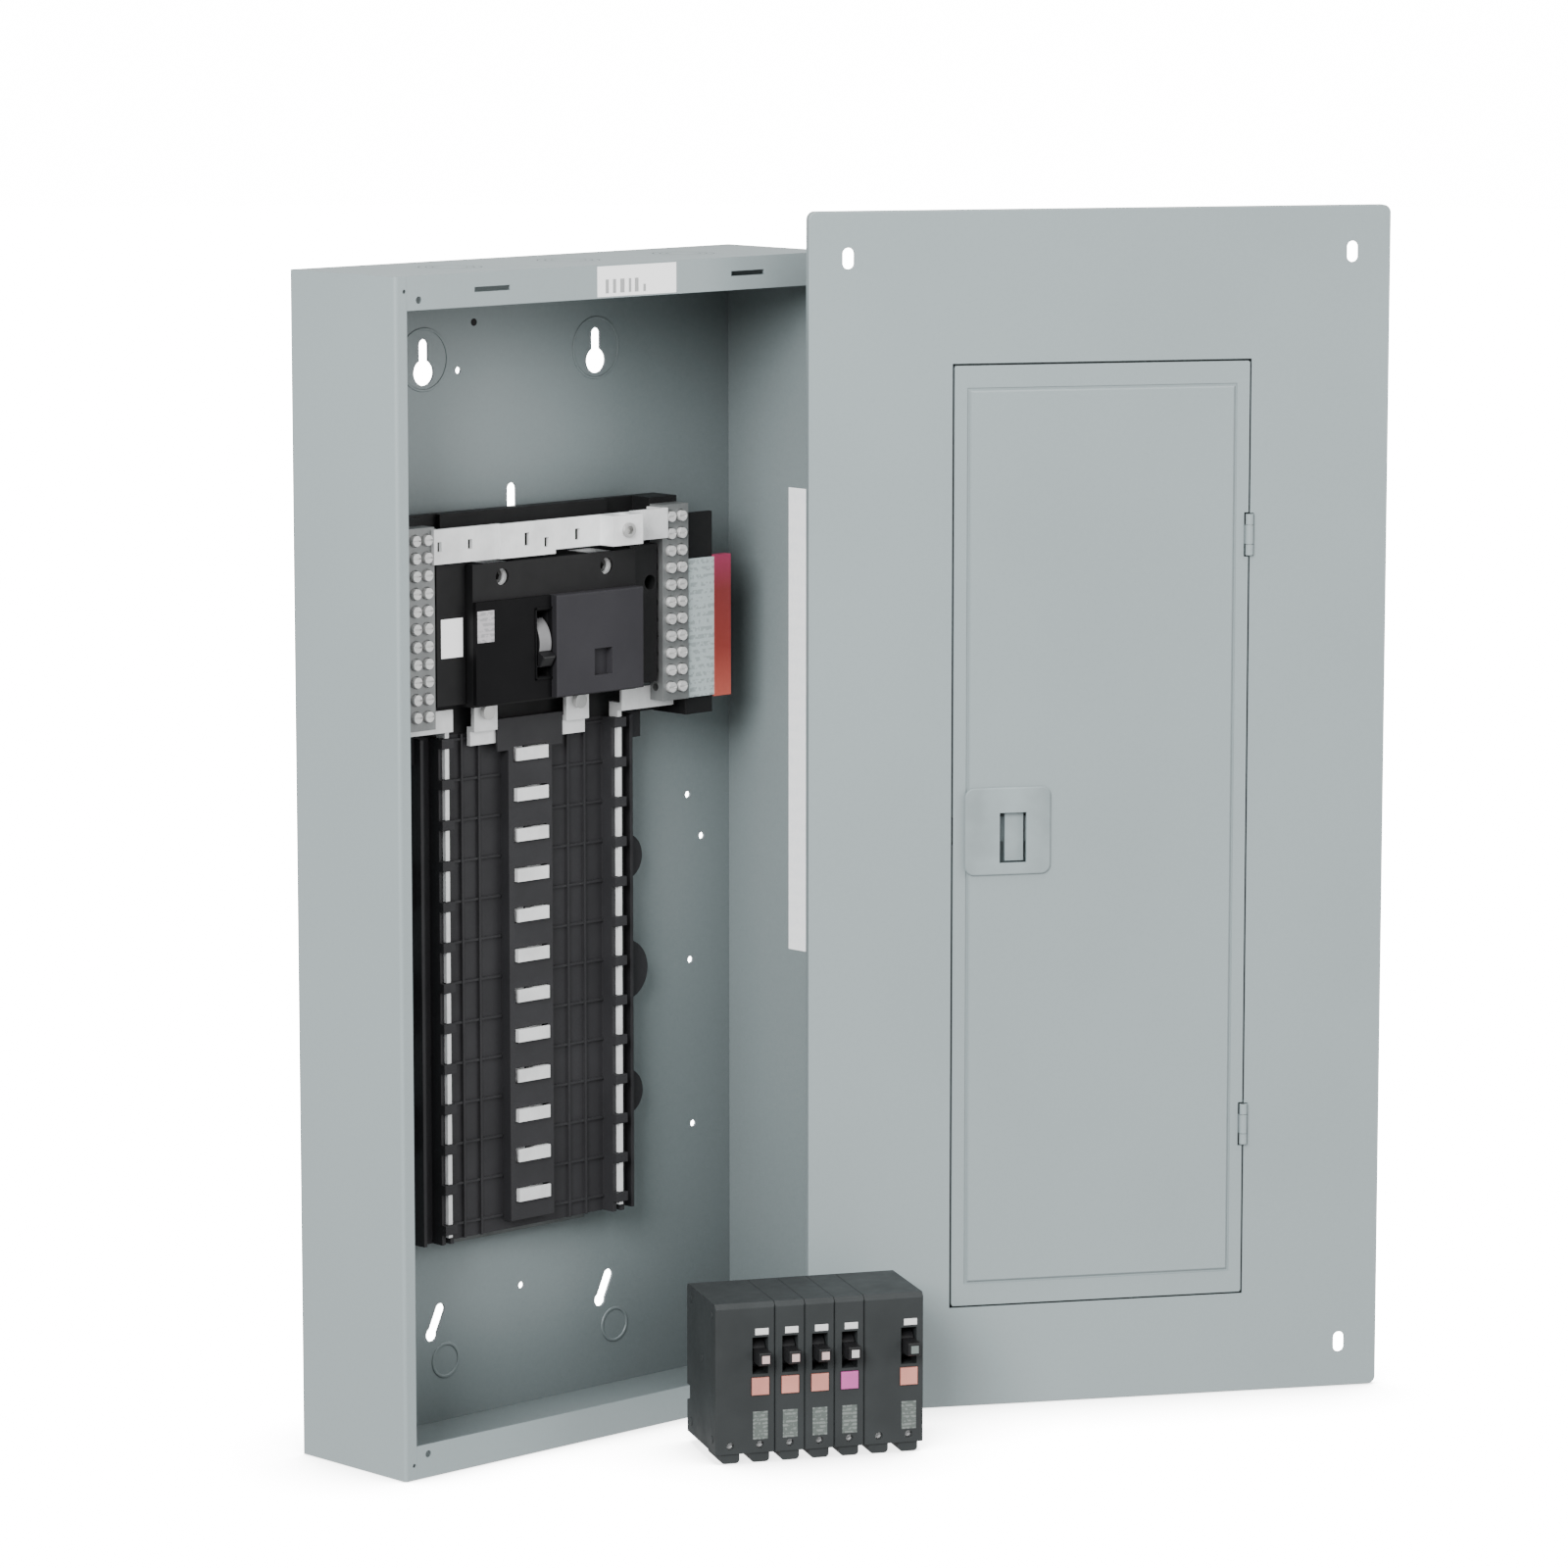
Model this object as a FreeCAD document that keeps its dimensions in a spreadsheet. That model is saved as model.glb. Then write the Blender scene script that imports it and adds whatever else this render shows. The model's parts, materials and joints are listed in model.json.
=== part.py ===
import FreeCAD, Part
import os
import re

import Sketcher

# A residential load center laid out as its kit: the open enclosure with its interior, the cover with
# its door standing beside it, and a set of five branch breakers in front. Millimetres.
# Row frame: X right as seen from the front, Y into the wall with the back face on Y=0, Z up, floor Z=0.

SIZES = {
    # enclosure
    "box_width": 362,
    "box_depth": 98.4,
    "box_height": 730,
    "steel": 1.5,
    "bend": 2.2,
    "side_return": 9,
    "end_return": 20.5,
    "keyhole_shift": -6,
    "keyhole_spread": 142,
    "keyhole_low": 58,
    "keyhole_high": 662,
    "keyhole_round": 8,
    "keyhole_neck": 3.6,
    "keyhole_rise": 17,
    "slant_round": 4.4,
    "keyhole_slant": 25,
    "hanger_z": 576,
    "hanger_rise": 10,
    "end_slot_x": 105,
    "end_slot_length": 28,
    "end_slot_width": 3,
    "pilot": 2.2,
    "knockout_step": 96,
    "knockout_score": 0.5,
    # interior
    "interior_shift": -15.5,
    "floor_depth": 84,
    "base_depth": 78,
    "base_half": 88,
    "base_low": 122,
    "base_high": 439.5,
    "rim": 2.5,
    "row_count": 12,
    "row_pitch": 25.4,
    "row_low": 144.3,
    "ridge_half": 18,
    "ridge_depth": 70,
    "hood_half": 27,
    "hood_high": 447,
    "ridge_wall": 2.4,
    "stab_half": 13,
    "stab_height": 8,
    "stab_depth": 67.5,
    "stab_thick": 1.5,
    "bus_width": 11,
    "bus_gap": 4,
    "bus_depth": 75,
    "bus_thick": 3,
    "rail_x": 71.5,
    "rail_width": 3.2,
    "rail_front": 66,
    "rail_root": 72,
    "rail_back": 74,
    "seat_depth": 68.5,
    "tooth_height": 6,
    "tooth_depth": 65,
    "tooth_width": 9.6,
    "rail_slack": 0.3,
    "ear_radius": 15,
    "pan_half": 56,
    "foot": 20,
    "bar_x": 105,
    "bar_width": 22,
    "bar_low": 449,
    "bar_high": 573,
    "bar_front": 50,
    "bar_back": 62,
    "wire_low": 457.5,
    "wire_rows": 11,
    "wire_step": 10.8,
    "wire_hole": 2.6,
    "screw_column": 4.6,
    "screw_radius": 3.3,
    "screw_ring": 0.7,
    "ring_depth": 1,
    "screw_front": 47.6,
    "screw_slack": 0.05,
    "strap_low": 550,
    "strap_rise": 2.5,
    "strap_high": 571.5,
    "strap_front": 47.5,
    "strap_thick": 2.5,
    "strap_step": 2.5,
    "strap_step_left": -45,
    "strap_step_right": 66,
    "strap_reach": 2.4,
    "bond_rise": 76,
    "lug_left": 37,
    "lug_width": 25,
    "lug_front": 33,
    "lug_bore": 5,
    "carrier_half": 92,
    "carrier_high": 577,
    "wing_right": 140,
    "wing_depth": 54,
    "wing_high": 566,
    "plate_low": 449,
    "plate_high": 537,
    "band_left": 140,
    "band_right": 154,
    # main breaker
    "main_half": 67,
    "main_low": 460,
    "main_high": 548,
    "main_split": 46,
    "main_front": 43,
    "main_raise": 5,
    "cover_top": 525,
    "panel_left": -5.5,
    "handle_x": -12,
    "handle_z": 495.5,
    "handle_axis": 59,
    "handle_drum": 17.5,
    "handle_reach": 23,
    "handle_width": 10,
    "handle_height": 8,
    "handle_rest": 30,
    "handle_slack": 0.9,
    "handle_slot": 20.5,
    "pocket_x": 33,
    "pocket_z": 481,
    "pocket_width": 14.6,
    "pocket_height": 16.6,
    "pocket_depth": 5,
    "line_lug_x": 43,
    "line_lug_bore": 7,
    "line_screw": 4.6,
    "load_strap_x": 38,
    "load_strap_width": 19,
    "load_strap_low": 441,
    # cover and door
    "cover_x": 111.9,
    "cover_y": -145.9,
    "cover_turn": -30.87,
    "cover_width": 375.5,
    "cover_height": 759,
    "cover_rim": 7.5,
    "cover_corner": 5,
    "cover_lap": 14.5,
    "cover_hole_u": 25,
    "cover_hole_z": 29,
    "cover_hole_half": 3.6,
    "cover_hole_rise": 3,
    "door_left": 93,
    "door_right": 284,
    "door_low": 65.5,
    "door_high": 662.5,
    "door_gap": 1.25,
    "door_sheet": 1.2,
    "door_proud": 0.5,
    "door_return": 8,
    "crease_width": 1.6,
    "crease_depth": 0.7,
    "field_inset": 9.8,
    "field_end": 15.5,
    "field_rise": 1.2,
    "front_left": 78,
    "front_right": 307.5,
    "front_low": 54,
    "front_high": 674,
    "front_depth": 13.5,
    "space_inner": 15,
    "space_width": 54,
    "space_gap": 1.6,
    "hinge_u": 284.6,
    "hinge_v": -0.8,
    "hinge_low": 175,
    "hinge_high": 553,
    "hinge_half": 13,
    "knuckle_half": 6,
    "knuckle_gap": 0.3,
    "knuckle": 2.5,
    "pin_radius": 1.5,
    "pin_slack": 0.05,
    "latch_left": 100,
    "latch_low": 342,
    "latch_side": 55.5,
    "latch_proud": 3.6,
    "latch_corner": 6,
    "latch_shadow": 1.6,
    "recess_left": 122.4,
    "recess_width": 17.4,
    "recess_low": 349.6,
    "recess_height": 31.8,
    "tab_left": 126.8,
    "tab_width": 12,
    "tab_sunk": 2.6,
    "tongue_left": 92.2,
    "tongue_low": 362,
    "tongue_height": 16,
    "tongue_front": 5.2,
    "tongue_back": 8,
    "tongue_right": 142,
    # branch breakers
    "set_x": -17,
    "set_y": -198,
    "set_turn": -27.5,
    "pole": 19.05,
    "pole_gap": 0.35,
    "case_depth": 66,
    "case_height": 100,
    "case_foot": 6,
    "foot_width": 12,
    "case_chamfer": 3,
    "case_edge": 0.8,
    "toggle_z": 67,
    "toggle_axis": 11,
    "toggle_drum": 9,
    "toggle_width": 8,
    "toggle_height": 8,
    "toggle_proud": 12,
    "slot_width": 10,
    "slot_half": 11.5,
    "slot_depth": 22,
    "button_low": 42.3,
    "button_side": 11,
    "button_slack": 0.3,
    "button_proud": 1.4,
    "button_depth": 4,
    "jaw_low": 40,
}

SHEET_NAMES = {alias: "Sizes." + alias for alias in SIZES}

doc = FreeCAD.newDocument("load_center")
sheet = doc.addObject("Spreadsheet::Sheet", "Sizes")
for line, (alias, value) in enumerate(SIZES.items(), start=1):
    sheet.set(f"A{line}", alias)
    sheet.set(f"B{line}", str(value))
    sheet.setAlias(f"B{line}", alias)
doc.recompute()

nodes = []


def bound(text):
    """An expression with each size's name pointed at the sheet."""
    return re.sub(r"[a-z][a-z_]+", lambda word: SHEET_NAMES.get(word.group(), word.group()), str(text))


def bind(thing, **expressions):
    """Binds properties to the sheet; a double underscore stands for a dot."""
    for name, text in expressions.items():
        thing.setExpression(name.replace("__", "."), bound(text))


def settle(thing, x, y, z):
    bind(thing, Placement__Base__x=x, Placement__Base__y=y, Placement__Base__z=z)
    return thing


def block(x, y, z, width, depth, height):
    """A box from its low corner and its sizes."""
    box = doc.addObject("Part::Box", "block")
    bind(box, Length=width, Width=depth, Height=height)
    return settle(box, x, y, z)


def between(x, x_end, y, y_end, z, z_end):
    """A box from its low corner to its high one."""
    return block(x, y, z, f"({x_end}) - ({x})", f"({y_end}) - ({y})", f"({z_end}) - ({z})")


TURNS = {
    "x": FreeCAD.Rotation(FreeCAD.Vector(0, 1, 0), 90),
    "y": FreeCAD.Rotation(FreeCAD.Vector(1, 0, 0), -90),
    "z": FreeCAD.Rotation(),
}


def rod(along, x, y, z, radius, length):
    """A cylinder that starts at a point and runs along an axis."""
    cylinder = doc.addObject("Part::Cylinder", "rod")
    cylinder.Placement = FreeCAD.Placement(FreeCAD.Vector(), TURNS[along])
    bind(cylinder, Radius=radius, Height=length)
    return settle(cylinder, x, y, z)


def fuse(pieces):
    if len(pieces) == 1:
        return pieces[0]
    whole = doc.addObject("Part::MultiFuse", "fuse")
    whole.Shapes = pieces
    whole.Refine = True
    return whole


def group(pieces):
    """Separate solids held together in one object."""
    together = doc.addObject("Part::Compound", "group")
    together.Links = pieces
    return together


def cut(base, tools):
    """Cuts every tool out of the base, and makes sure that they met it."""
    result = doc.addObject("Part::Cut", "cut")
    result.Base = base
    result.Tool = group(tools) if len(tools) > 1 else tools[0]
    result.Refine = True
    doc.recompute()
    if result.Shape.Volume >= base.Shape.Volume - 1e-6:
        raise ValueError("a cut removed nothing")
    return result


def round_edges(base, radius, picked, kind="Part::Fillet"):
    """Rounds or chamfers the edges that the test picks."""
    doc.recompute()
    rounded = doc.addObject(kind, "rounded")
    rounded.Base = base
    edges = enumerate(base.Shape.Edges, start=1)
    rounded.Edges = [(number, radius, radius) for number, edge in edges if picked(edge)]
    return rounded


def runs_along(edge, axis):
    """Whether an edge is straight and parallel to x, y or z."""
    ends = [vertex.Point for vertex in edge.Vertexes]
    if len(ends) != 2 or edge.Curve.TypeId != "Part::GeomLine":
        return False
    span = ends[1] - ends[0]
    return abs(getattr(span, axis)) > span.Length * 0.999


def hexagon_socket(x, y, z, depth):
    """Cutter for a hexagon key, from a point into the part."""
    hexagon = doc.addObject("Part::Prism", "socket")
    hexagon.Polygon = 6
    hexagon.Placement = FreeCAD.Placement(FreeCAD.Vector(), TURNS["y"])
    bind(hexagon, Circumradius=2.8, Height=depth)
    return settle(hexagon, x, y, z)


FRAMES = {
    "box": ("0", "0", "0", 0),
    "interior": ("interior_shift", "-box_depth", "0", 0),
    "cover": ("cover_x", "cover_y", "0", "cover_turn"),
}


def node(label, thing, frame="box"):
    """Names a finished sub-part and puts it in its frame."""
    x, y, z, turn = FRAMES[frame]
    thing = thing if thing.TypeId != "Part::Box" and thing.TypeId != "Part::Cylinder" else group([thing])
    thing.Label = label
    thing.Placement = FreeCAD.Placement(
        FreeCAD.Vector(), FreeCAD.Rotation(FreeCAD.Vector(0, 0, 1), 0.001 if turn else 0)
    )
    settle(thing, x, y, z)
    if turn:
        bind(thing, Placement__Rotation__Angle=turn)
    nodes.append(thing)
    return thing


# PartDesign bodies


def start_body(name):
    return doc.addObject("PartDesign::Body", name)


def sketch_on(body, role, offset=None):
    """A sketch on one of the body's own origin planes, moved along the plane's normal."""
    sketch = body.newObject("Sketcher::SketchObject", "outline")
    plane = next(f for f in body.Origin.OriginFeatures if f.Role == role)
    sketch.AttachmentSupport = (plane, [""])
    sketch.MapMode = "FlatFace"
    if offset is not None:
        bind(sketch, AttachmentOffset__Base__z=offset)
    return sketch


def polygon(sketch, corners):
    """Closed straight outline. Each corner's distances from the origin are bound to the sheet."""
    first = sketch.GeometryCount
    count = len(corners)
    spots = [FreeCAD.Vector(10 + 5 * (i % 3), 10 + 4 * i, 0) for i in range(count)]
    for i in range(count):
        sketch.addGeometry(Part.LineSegment(spots[i], spots[(i + 1) % count]))
    for i in range(count):
        after = first + (i + 1) % count
        sketch.addConstraint(Sketcher.Constraint("Coincident", first + i, 2, after, 1))
    for i, (x, y) in enumerate(corners):
        for kind, text, spot in (("DistanceX", x, spots[i].x), ("DistanceY", y, spots[i].y)):
            number = sketch.addConstraint(Sketcher.Constraint(kind, -1, 1, first + i, 1, spot))
            sketch.setExpression(f"Constraints[{number}]", bound(text))


def rectangle(sketch, x, y, x_end, y_end):
    polygon(sketch, [(x, y), (x_end, y), (x_end, y_end), (x, y_end)])


def pad(body, sketch, length, reverse=False):
    feature = body.newObject("PartDesign::Pad", "pad")
    feature.Profile = sketch
    feature.Reversed = reverse
    bind(feature, Length=length)
    doc.recompute()
    return feature


def pocket(body, sketch, length, reverse=False):
    """A pocket that is sure to remove something."""
    before = body.Tip.Shape.Volume
    feature = body.newObject("PartDesign::Pocket", "pocket")
    feature.Profile = sketch
    feature.Reversed = reverse
    bind(feature, Length=length)
    doc.recompute()
    if feature.Shape.Volume >= before - 1e-6:
        raise ValueError("a pocket removed nothing")
    return feature


def body_edges(body, radius, picked, kind="PartDesign::Fillet"):
    """Rounds or chamfers the picked edges of a body."""
    base = body.Tip
    names = [f"Edge{n}" for n, edge in enumerate(base.Shape.Edges, start=1) if picked(edge)]
    feature = body.newObject(kind, "edges")
    feature.Base = (base, names)
    if kind == "PartDesign::Fillet":
        bind(feature, Radius=radius)
    else:
        bind(feature, Size=radius)
    doc.recompute()
    return feature


# Enclosure


def keyhole(x, z, slant, radius):
    """Cutters for a round hole with a narrower neck that rises from it."""
    tools = [rod("y", x, "-2 * steel", z, radius, "3 * steel")]
    neck = block(x, "-2 * steel", z, "2 * keyhole_neck", "3 * steel", "keyhole_rise")
    turn = FreeCAD.Rotation(FreeCAD.Vector(0, 1, 0), 1)
    neck.Placement = FreeCAD.Placement(FreeCAD.Vector(), turn)
    bind(
        neck,
        Placement__Rotation__Angle=slant,
        Placement__Base__x=f"{x} - keyhole_neck * cos(({slant}) * 1deg)",
        Placement__Base__z=f"{z} + keyhole_neck * sin(({slant}) * 1deg)",
    )
    top = rod(
        "y",
        f"{x} + keyhole_rise * sin(({slant}) * 1deg)",
        "-2 * steel",
        f"{z} + keyhole_rise * cos(({slant}) * 1deg)",
        "keyhole_neck",
        "3 * steel",
    )
    return tools + [neck, top]


def box_wrapper():
    """Back and both sides, bent from one sheet, with narrow returns along the front edges."""
    half = "box_width / 2"
    sheets = [
        block(f"-{half}", "-steel", 0, "box_width", "steel", "box_height"),
        block(f"-{half}", "-box_depth", 0, "steel", "box_depth", "box_height"),
        block(f"{half} - steel", "-box_depth", 0, "steel", "box_depth", "box_height"),
        block(f"-{half}", "-box_depth", 0, "side_return", "steel", "box_height"),
        block(f"{half} - side_return", "-box_depth", 0, "side_return", "steel", "box_height"),
    ]
    shell = fuse(sheets)
    edge_x = SIZES["box_width"] / 2

    def outer_corner(edge):
        spot = edge.Vertexes[0].Point
        on_side = abs(abs(spot.x) - edge_x) < 0.01
        on_face = abs(spot.y) < 0.01 or abs(spot.y + SIZES["box_depth"]) < 0.01
        return runs_along(edge, "z") and on_side and on_face

    shell = round_edges(shell, SIZES["bend"], outer_corner)
    tools = []
    for side in ("", "-"):
        spot = f"keyhole_shift + ({side}keyhole_spread / 2)"
        tools += keyhole(spot, "keyhole_high", "0", "keyhole_round")
        tools += keyhole(spot, "keyhole_low", "keyhole_slant", "slant_round")
    middle = "keyhole_shift - keyhole_neck"
    tools += [
        rod("y", "keyhole_shift", "-2 * steel", "hanger_z", "keyhole_neck", "3 * steel"),
        rod("y", "keyhole_shift", "-2 * steel", "hanger_z + hanger_rise", "keyhole_neck", "3 * steel"),
        block(middle, "-2 * steel", "hanger_z", "2 * keyhole_neck", "3 * steel", "hanger_rise"),
    ]
    for x, z in ((-49, 662), (-2, 78), (143, 378), (155, 350), (145, 270), (147, 162)):
        tools.append(rod("y", x, "-2 * steel", z, "pilot", "3 * steel"))
    for x in ("side_return - box_width / 2 - 2", "box_width / 2 - side_return + 2"):
        for z in ("9", "box_height - 9"):
            tools.append(rod("y", x, "-box_depth - steel", z, 1.2, "3 * steel"))
    node("box_wrapper", cut(shell, tools))


def box_end(label, low, flange_low, outer, top):
    """One end wall with its front flange, cover screw holes and scored conduit knockouts."""
    inner = "box_width / 2 - steel"
    lip = "box_width / 2 - side_return"
    wall = between(f"-({inner})", inner, "-box_depth + steel", "-steel", low, f"{low} + steel")
    flange_high = f"{flange_low} + end_return"
    flange = between(f"-({lip})", lip, "-box_depth", "-box_depth + steel", flange_low, flange_high)
    tools = []
    for side in ("", "-"):
        x = f"{side}(cover_width / 2 - cover_hole_u)"
        z = "box_height - cover_hole_z + cover_lap" if top else "cover_hole_z - cover_lap"
        tools.append(rod("y", x, "-box_depth - steel", z, "pilot", "3 * steel"))
        if top:
            start = f"{side}end_slot_x - end_slot_length / 2"
            slot_z = f"{flange_low} + end_return / 2 - end_slot_width / 2"
            length = "end_slot_length"
            tools.append(block(start, "-box_depth - steel", slot_z, length, "3 * steel", "end_slot_width"))
    for place in (-1, 0, 1):
        for radius in (11, 15, 19.5):
            x = f"{place} * knockout_step"
            ring = rod("z", x, "-box_depth / 2", outer, radius, "2 * knockout_score")
            core = rod("z", x, "-box_depth / 2", outer, radius - 0.6, "2 * knockout_score")
            score = doc.addObject("Part::Cut", "score")
            score.Base = ring
            score.Tool = core
            tools.append(score)
    node(label, cut(fuse([wall, flange]), tools))


# Interior. Here x is from the interior's centre and y is depth from the enclosure's front.


def row_z(number):
    return f"row_low + {number} * row_pitch"


def mirror_pair(x, x_end, y, y_end, z, z_end):
    """The same box on the right and on the left."""
    right = between(x, x_end, y, y_end, z, z_end)
    left = between(f"-({x_end})", f"-({x})", y, y_end, z, z_end)
    return [left, right]


def interior_pan():
    """Steel hat section that stands the interior off the back wall."""
    wall = "box_depth - steel"
    low, high = "base_low - 4", "carrier_high - 18"
    plate = between("-pan_half", "pan_half", "floor_depth", "floor_depth + steel", low, high)
    legs = mirror_pair("pan_half - steel", "pan_half", "floor_depth", wall, low, high)
    feet = mirror_pair("pan_half - steel", "pan_half + foot", f"{wall} - steel", wall, low, high)
    holes = []
    for side in ("", "-"):
        for z in ("base_low + 13", "carrier_high - 30"):
            x = f"{side}(pan_half + foot / 2)"
            holes.append(rod("y", x, f"{wall} - 2 * steel", z, "pilot", "3 * steel"))
    node("interior_pan", cut(fuse([plate] + legs + feet), holes), "interior")
    screws = []
    for side in ("", "-"):
        for z in ("base_low + 13", "carrier_high - 30"):
            x = f"{side}(pan_half + foot / 2)"
            head = rod("y", x, f"{wall} - steel - 3", z, "2 * pilot", 3)
            shank = rod("y", x, f"{wall} - steel - 1", z, "pilot - screw_slack", "steel + 1")
            screws.append(fuse([head, shank]))
    node("interior_screws", group(screws), "interior")


def bus_base():
    """Black moulded floor with side rims, row ribs, rail seats, guard teeth and round side ears."""
    pieces = [between("-base_half", "base_half", "base_depth", "floor_depth", "base_low", "base_high")]
    pieces += mirror_pair("base_half - rim", "base_half", "rail_root", "base_depth", "base_low", "base_high")
    inner, outer = "rail_x - tooth_width / 2", "rail_x + tooth_width / 2"
    pieces += mirror_pair(inner, outer, "seat_depth", "base_depth", "base_low", "base_high")
    teeth = []
    for number in range(SIZES["row_count"] + 1):
        rib = f"{row_z(number)} - row_pitch / 2"
        low, high = f"{rib} - tooth_height / 2", f"{rib} + tooth_height / 2"
        teeth += mirror_pair(inner, outer, "tooth_depth", "rail_root - rail_slack", low, high)
        low, high = f"{rib} - 0.8", f"{rib} + 0.8"
        pieces += mirror_pair("ridge_half + 1", inner, "base_depth - 1.4", "base_depth", low, high)
    for x in ("36", "50"):
        pieces += mirror_pair(x, f"{x} + 1.6", "base_depth - 2", "base_depth", "base_low", "base_high")
    for z, radius in ((347, "ear_radius"), (274, "ear_radius * 1.3"), (195, "ear_radius")):
        for side in ("", "-"):
            pieces.append(rod("y", f"{side}base_half", "floor_depth - 4", z, radius, 4))
    corner = "base_high - 16"
    pieces += mirror_pair("base_half", "base_half + 12", "base_depth", "floor_depth", corner, "base_high")
    slack = "rail_width / 2 + rail_slack"
    tools = mirror_pair(
        f"rail_x - ({slack})",
        f"rail_x + {slack}",
        "tooth_depth - 1",
        "rail_back",
        "base_low - 1",
        "base_high + 1",
    )
    node("bus_base", fuse([cut(fuse(pieces), tools)] + teeth), "interior")


def stab_ridge():
    """Raised black channel over the bus bars, with a window for each stab and a hood at its top."""
    low = f"{row_z(0)} - 16"
    high = f"{row_z(SIZES['row_count'] - 1)} + 5"
    body = start_body("ridge")
    outline = sketch_on(body, "XZ_Plane", "-ridge_depth")
    rectangle(outline, "-ridge_half", low, "ridge_half", high)
    pad(body, outline, "base_depth - ridge_depth", reverse=True)
    channel = sketch_on(body, "XZ_Plane", "-(ridge_depth + ridge_wall)")
    inner = "ridge_half - ridge_wall"
    rectangle(channel, f"-({inner})", f"{low} + ridge_wall", inner, f"{high} + 1")
    pocket(body, channel, "base_depth")
    windows = []
    for number in range(SIZES["row_count"]):
        z = row_z(number)
        half = "stab_height / 2 + 0.8"
        front, back = "ridge_depth - 1", "ridge_depth + ridge_wall + 1"
        low_edge, high_edge = f"{z} - ({half})", f"{z} + {half}"
        windows.append(between("-stab_half - 0.6", "stab_half + 0.6", front, back, low_edge, high_edge))
    # The hood covers the live links between the breaker's straps and the bus bars.
    hood = between("-hood_half", "hood_half", "ridge_depth", "ridge_depth + 1.7", f"{high} - 2", "hood_high")
    node("stab_ridge", cut(fuse([body, hood]), windows), "interior")


def bus_bar(label, side, first):
    """One line bus bar with a stab on every second row."""
    inner, outer = "bus_gap / 2", "bus_gap / 2 + bus_width"
    x, x_end = (f"-({outer})", f"-({inner})") if side < 0 else (inner, outer)
    low, high = f"{row_z(0)} - 13", "load_strap_low"
    back = "bus_depth + bus_thick"
    pieces = [between(x, x_end, "bus_depth", back, low, high)]
    for number in range(first, SIZES["row_count"], 2):
        z = row_z(number)
        stab_low, stab_high = f"{z} - stab_height / 2", f"{z} + stab_height / 2"
        front, rear = "stab_depth", "stab_depth + stab_thick"
        pieces.append(between("-stab_half", "stab_half", front, rear, stab_low, stab_high))
        pieces.append(between(x, x_end, rear, "bus_depth", stab_low, stab_high))
    node(label, fuse(pieces), "interior")


def neutral_rail(label, side):
    """Tin-plated plug-on rail, notched for the guard teeth, with a link out to its terminal bar."""

    def sided(x, x_end, y, y_end, z, z_end):
        pair = (f"-({x_end})", f"-({x})") if side < 0 else (x, x_end)
        return between(*pair, y, y_end, z, z_end)

    half = "rail_width / 2"
    low, high = f"{row_z(0)} - row_pitch / 2 - 5", "bar_low"
    strip = sided(f"rail_x - {half}", f"rail_x + {half}", "rail_front", "rail_back", low, high)
    link = sided(f"rail_x - {half}", "bar_x + 9", "bar_back", "bar_back + 2", "bar_low - 5", "bar_low + 9")
    tab = sided(f"rail_x - {half}", f"rail_x + {half}", "bar_back", "rail_back", "bar_low - 5", "bar_low")
    notches = []
    for number in range(SIZES["row_count"] + 1):
        middle = f"{row_z(number)} - row_pitch / 2"
        gap = "(tooth_height / 2 + rail_slack)"
        x, x_end = f"rail_x - {half} - 1", f"rail_x + {half} + 1"
        low_edge, high_edge = f"{middle} - {gap}", f"{middle} + {gap}"
        notches.append(sided(x, x_end, "rail_front - 1", "rail_root", low_edge, high_edge))
    node(label, fuse([cut(strip, notches), link, tab]), "interior")


def terminal_rows():
    """Heights of the terminal screws."""
    return [f"wire_low + {number} * wire_step" for number in range(SIZES["wire_rows"])]


def neutral_bar(label, side):
    """Terminal bar with a cross hole for a wire and two screws in each row."""
    middle = f"{side}bar_x"
    x, x_end = f"{middle} - bar_width / 2", f"{middle} + bar_width / 2"
    bar = between(x, x_end, "bar_front", "bar_back", "bar_low", "bar_high")
    tools = []
    for z in terminal_rows():
        tools.append(rod("x", f"{x} - 1", "bar_front + 7", z, "wire_hole", "bar_width + 2"))
    bar = cut(bar, tools)
    sockets = []
    for z in terminal_rows():
        for column in ("-", "+"):
            spot = f"{middle} {column} screw_column"
            sockets.append(rod("y", spot, "bar_front - 1", z, "screw_radius + screw_slack", 6))
            ring = "screw_radius + screw_ring"
            sockets.append(rod("y", spot, "bar_front - 1", z, ring, "ring_depth + 1"))
    node(label, cut(bar, sockets), "interior")


def neutral_screws():
    """Slotted terminal screws of both bars, as separate solids."""
    screws = []
    slots = []
    for side in ("", "-"):
        for z in terminal_rows():
            for column in ("-", "+"):
                spot = f"{side}bar_x {column} screw_column"
                length = "bar_front + 4.5 - screw_front"
                screws.append(rod("y", spot, "screw_front", z, "screw_radius", length))
                x, x_end = f"{spot} - 3", f"{spot} + 3"
                front, back = "screw_front - 1", "screw_front + 1"
                slots.append(between(x, x_end, front, back, f"{z} - 0.5", f"{z} + 0.5"))
    node("neutral_screws", cut(group(screws), slots), "interior")


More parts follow.
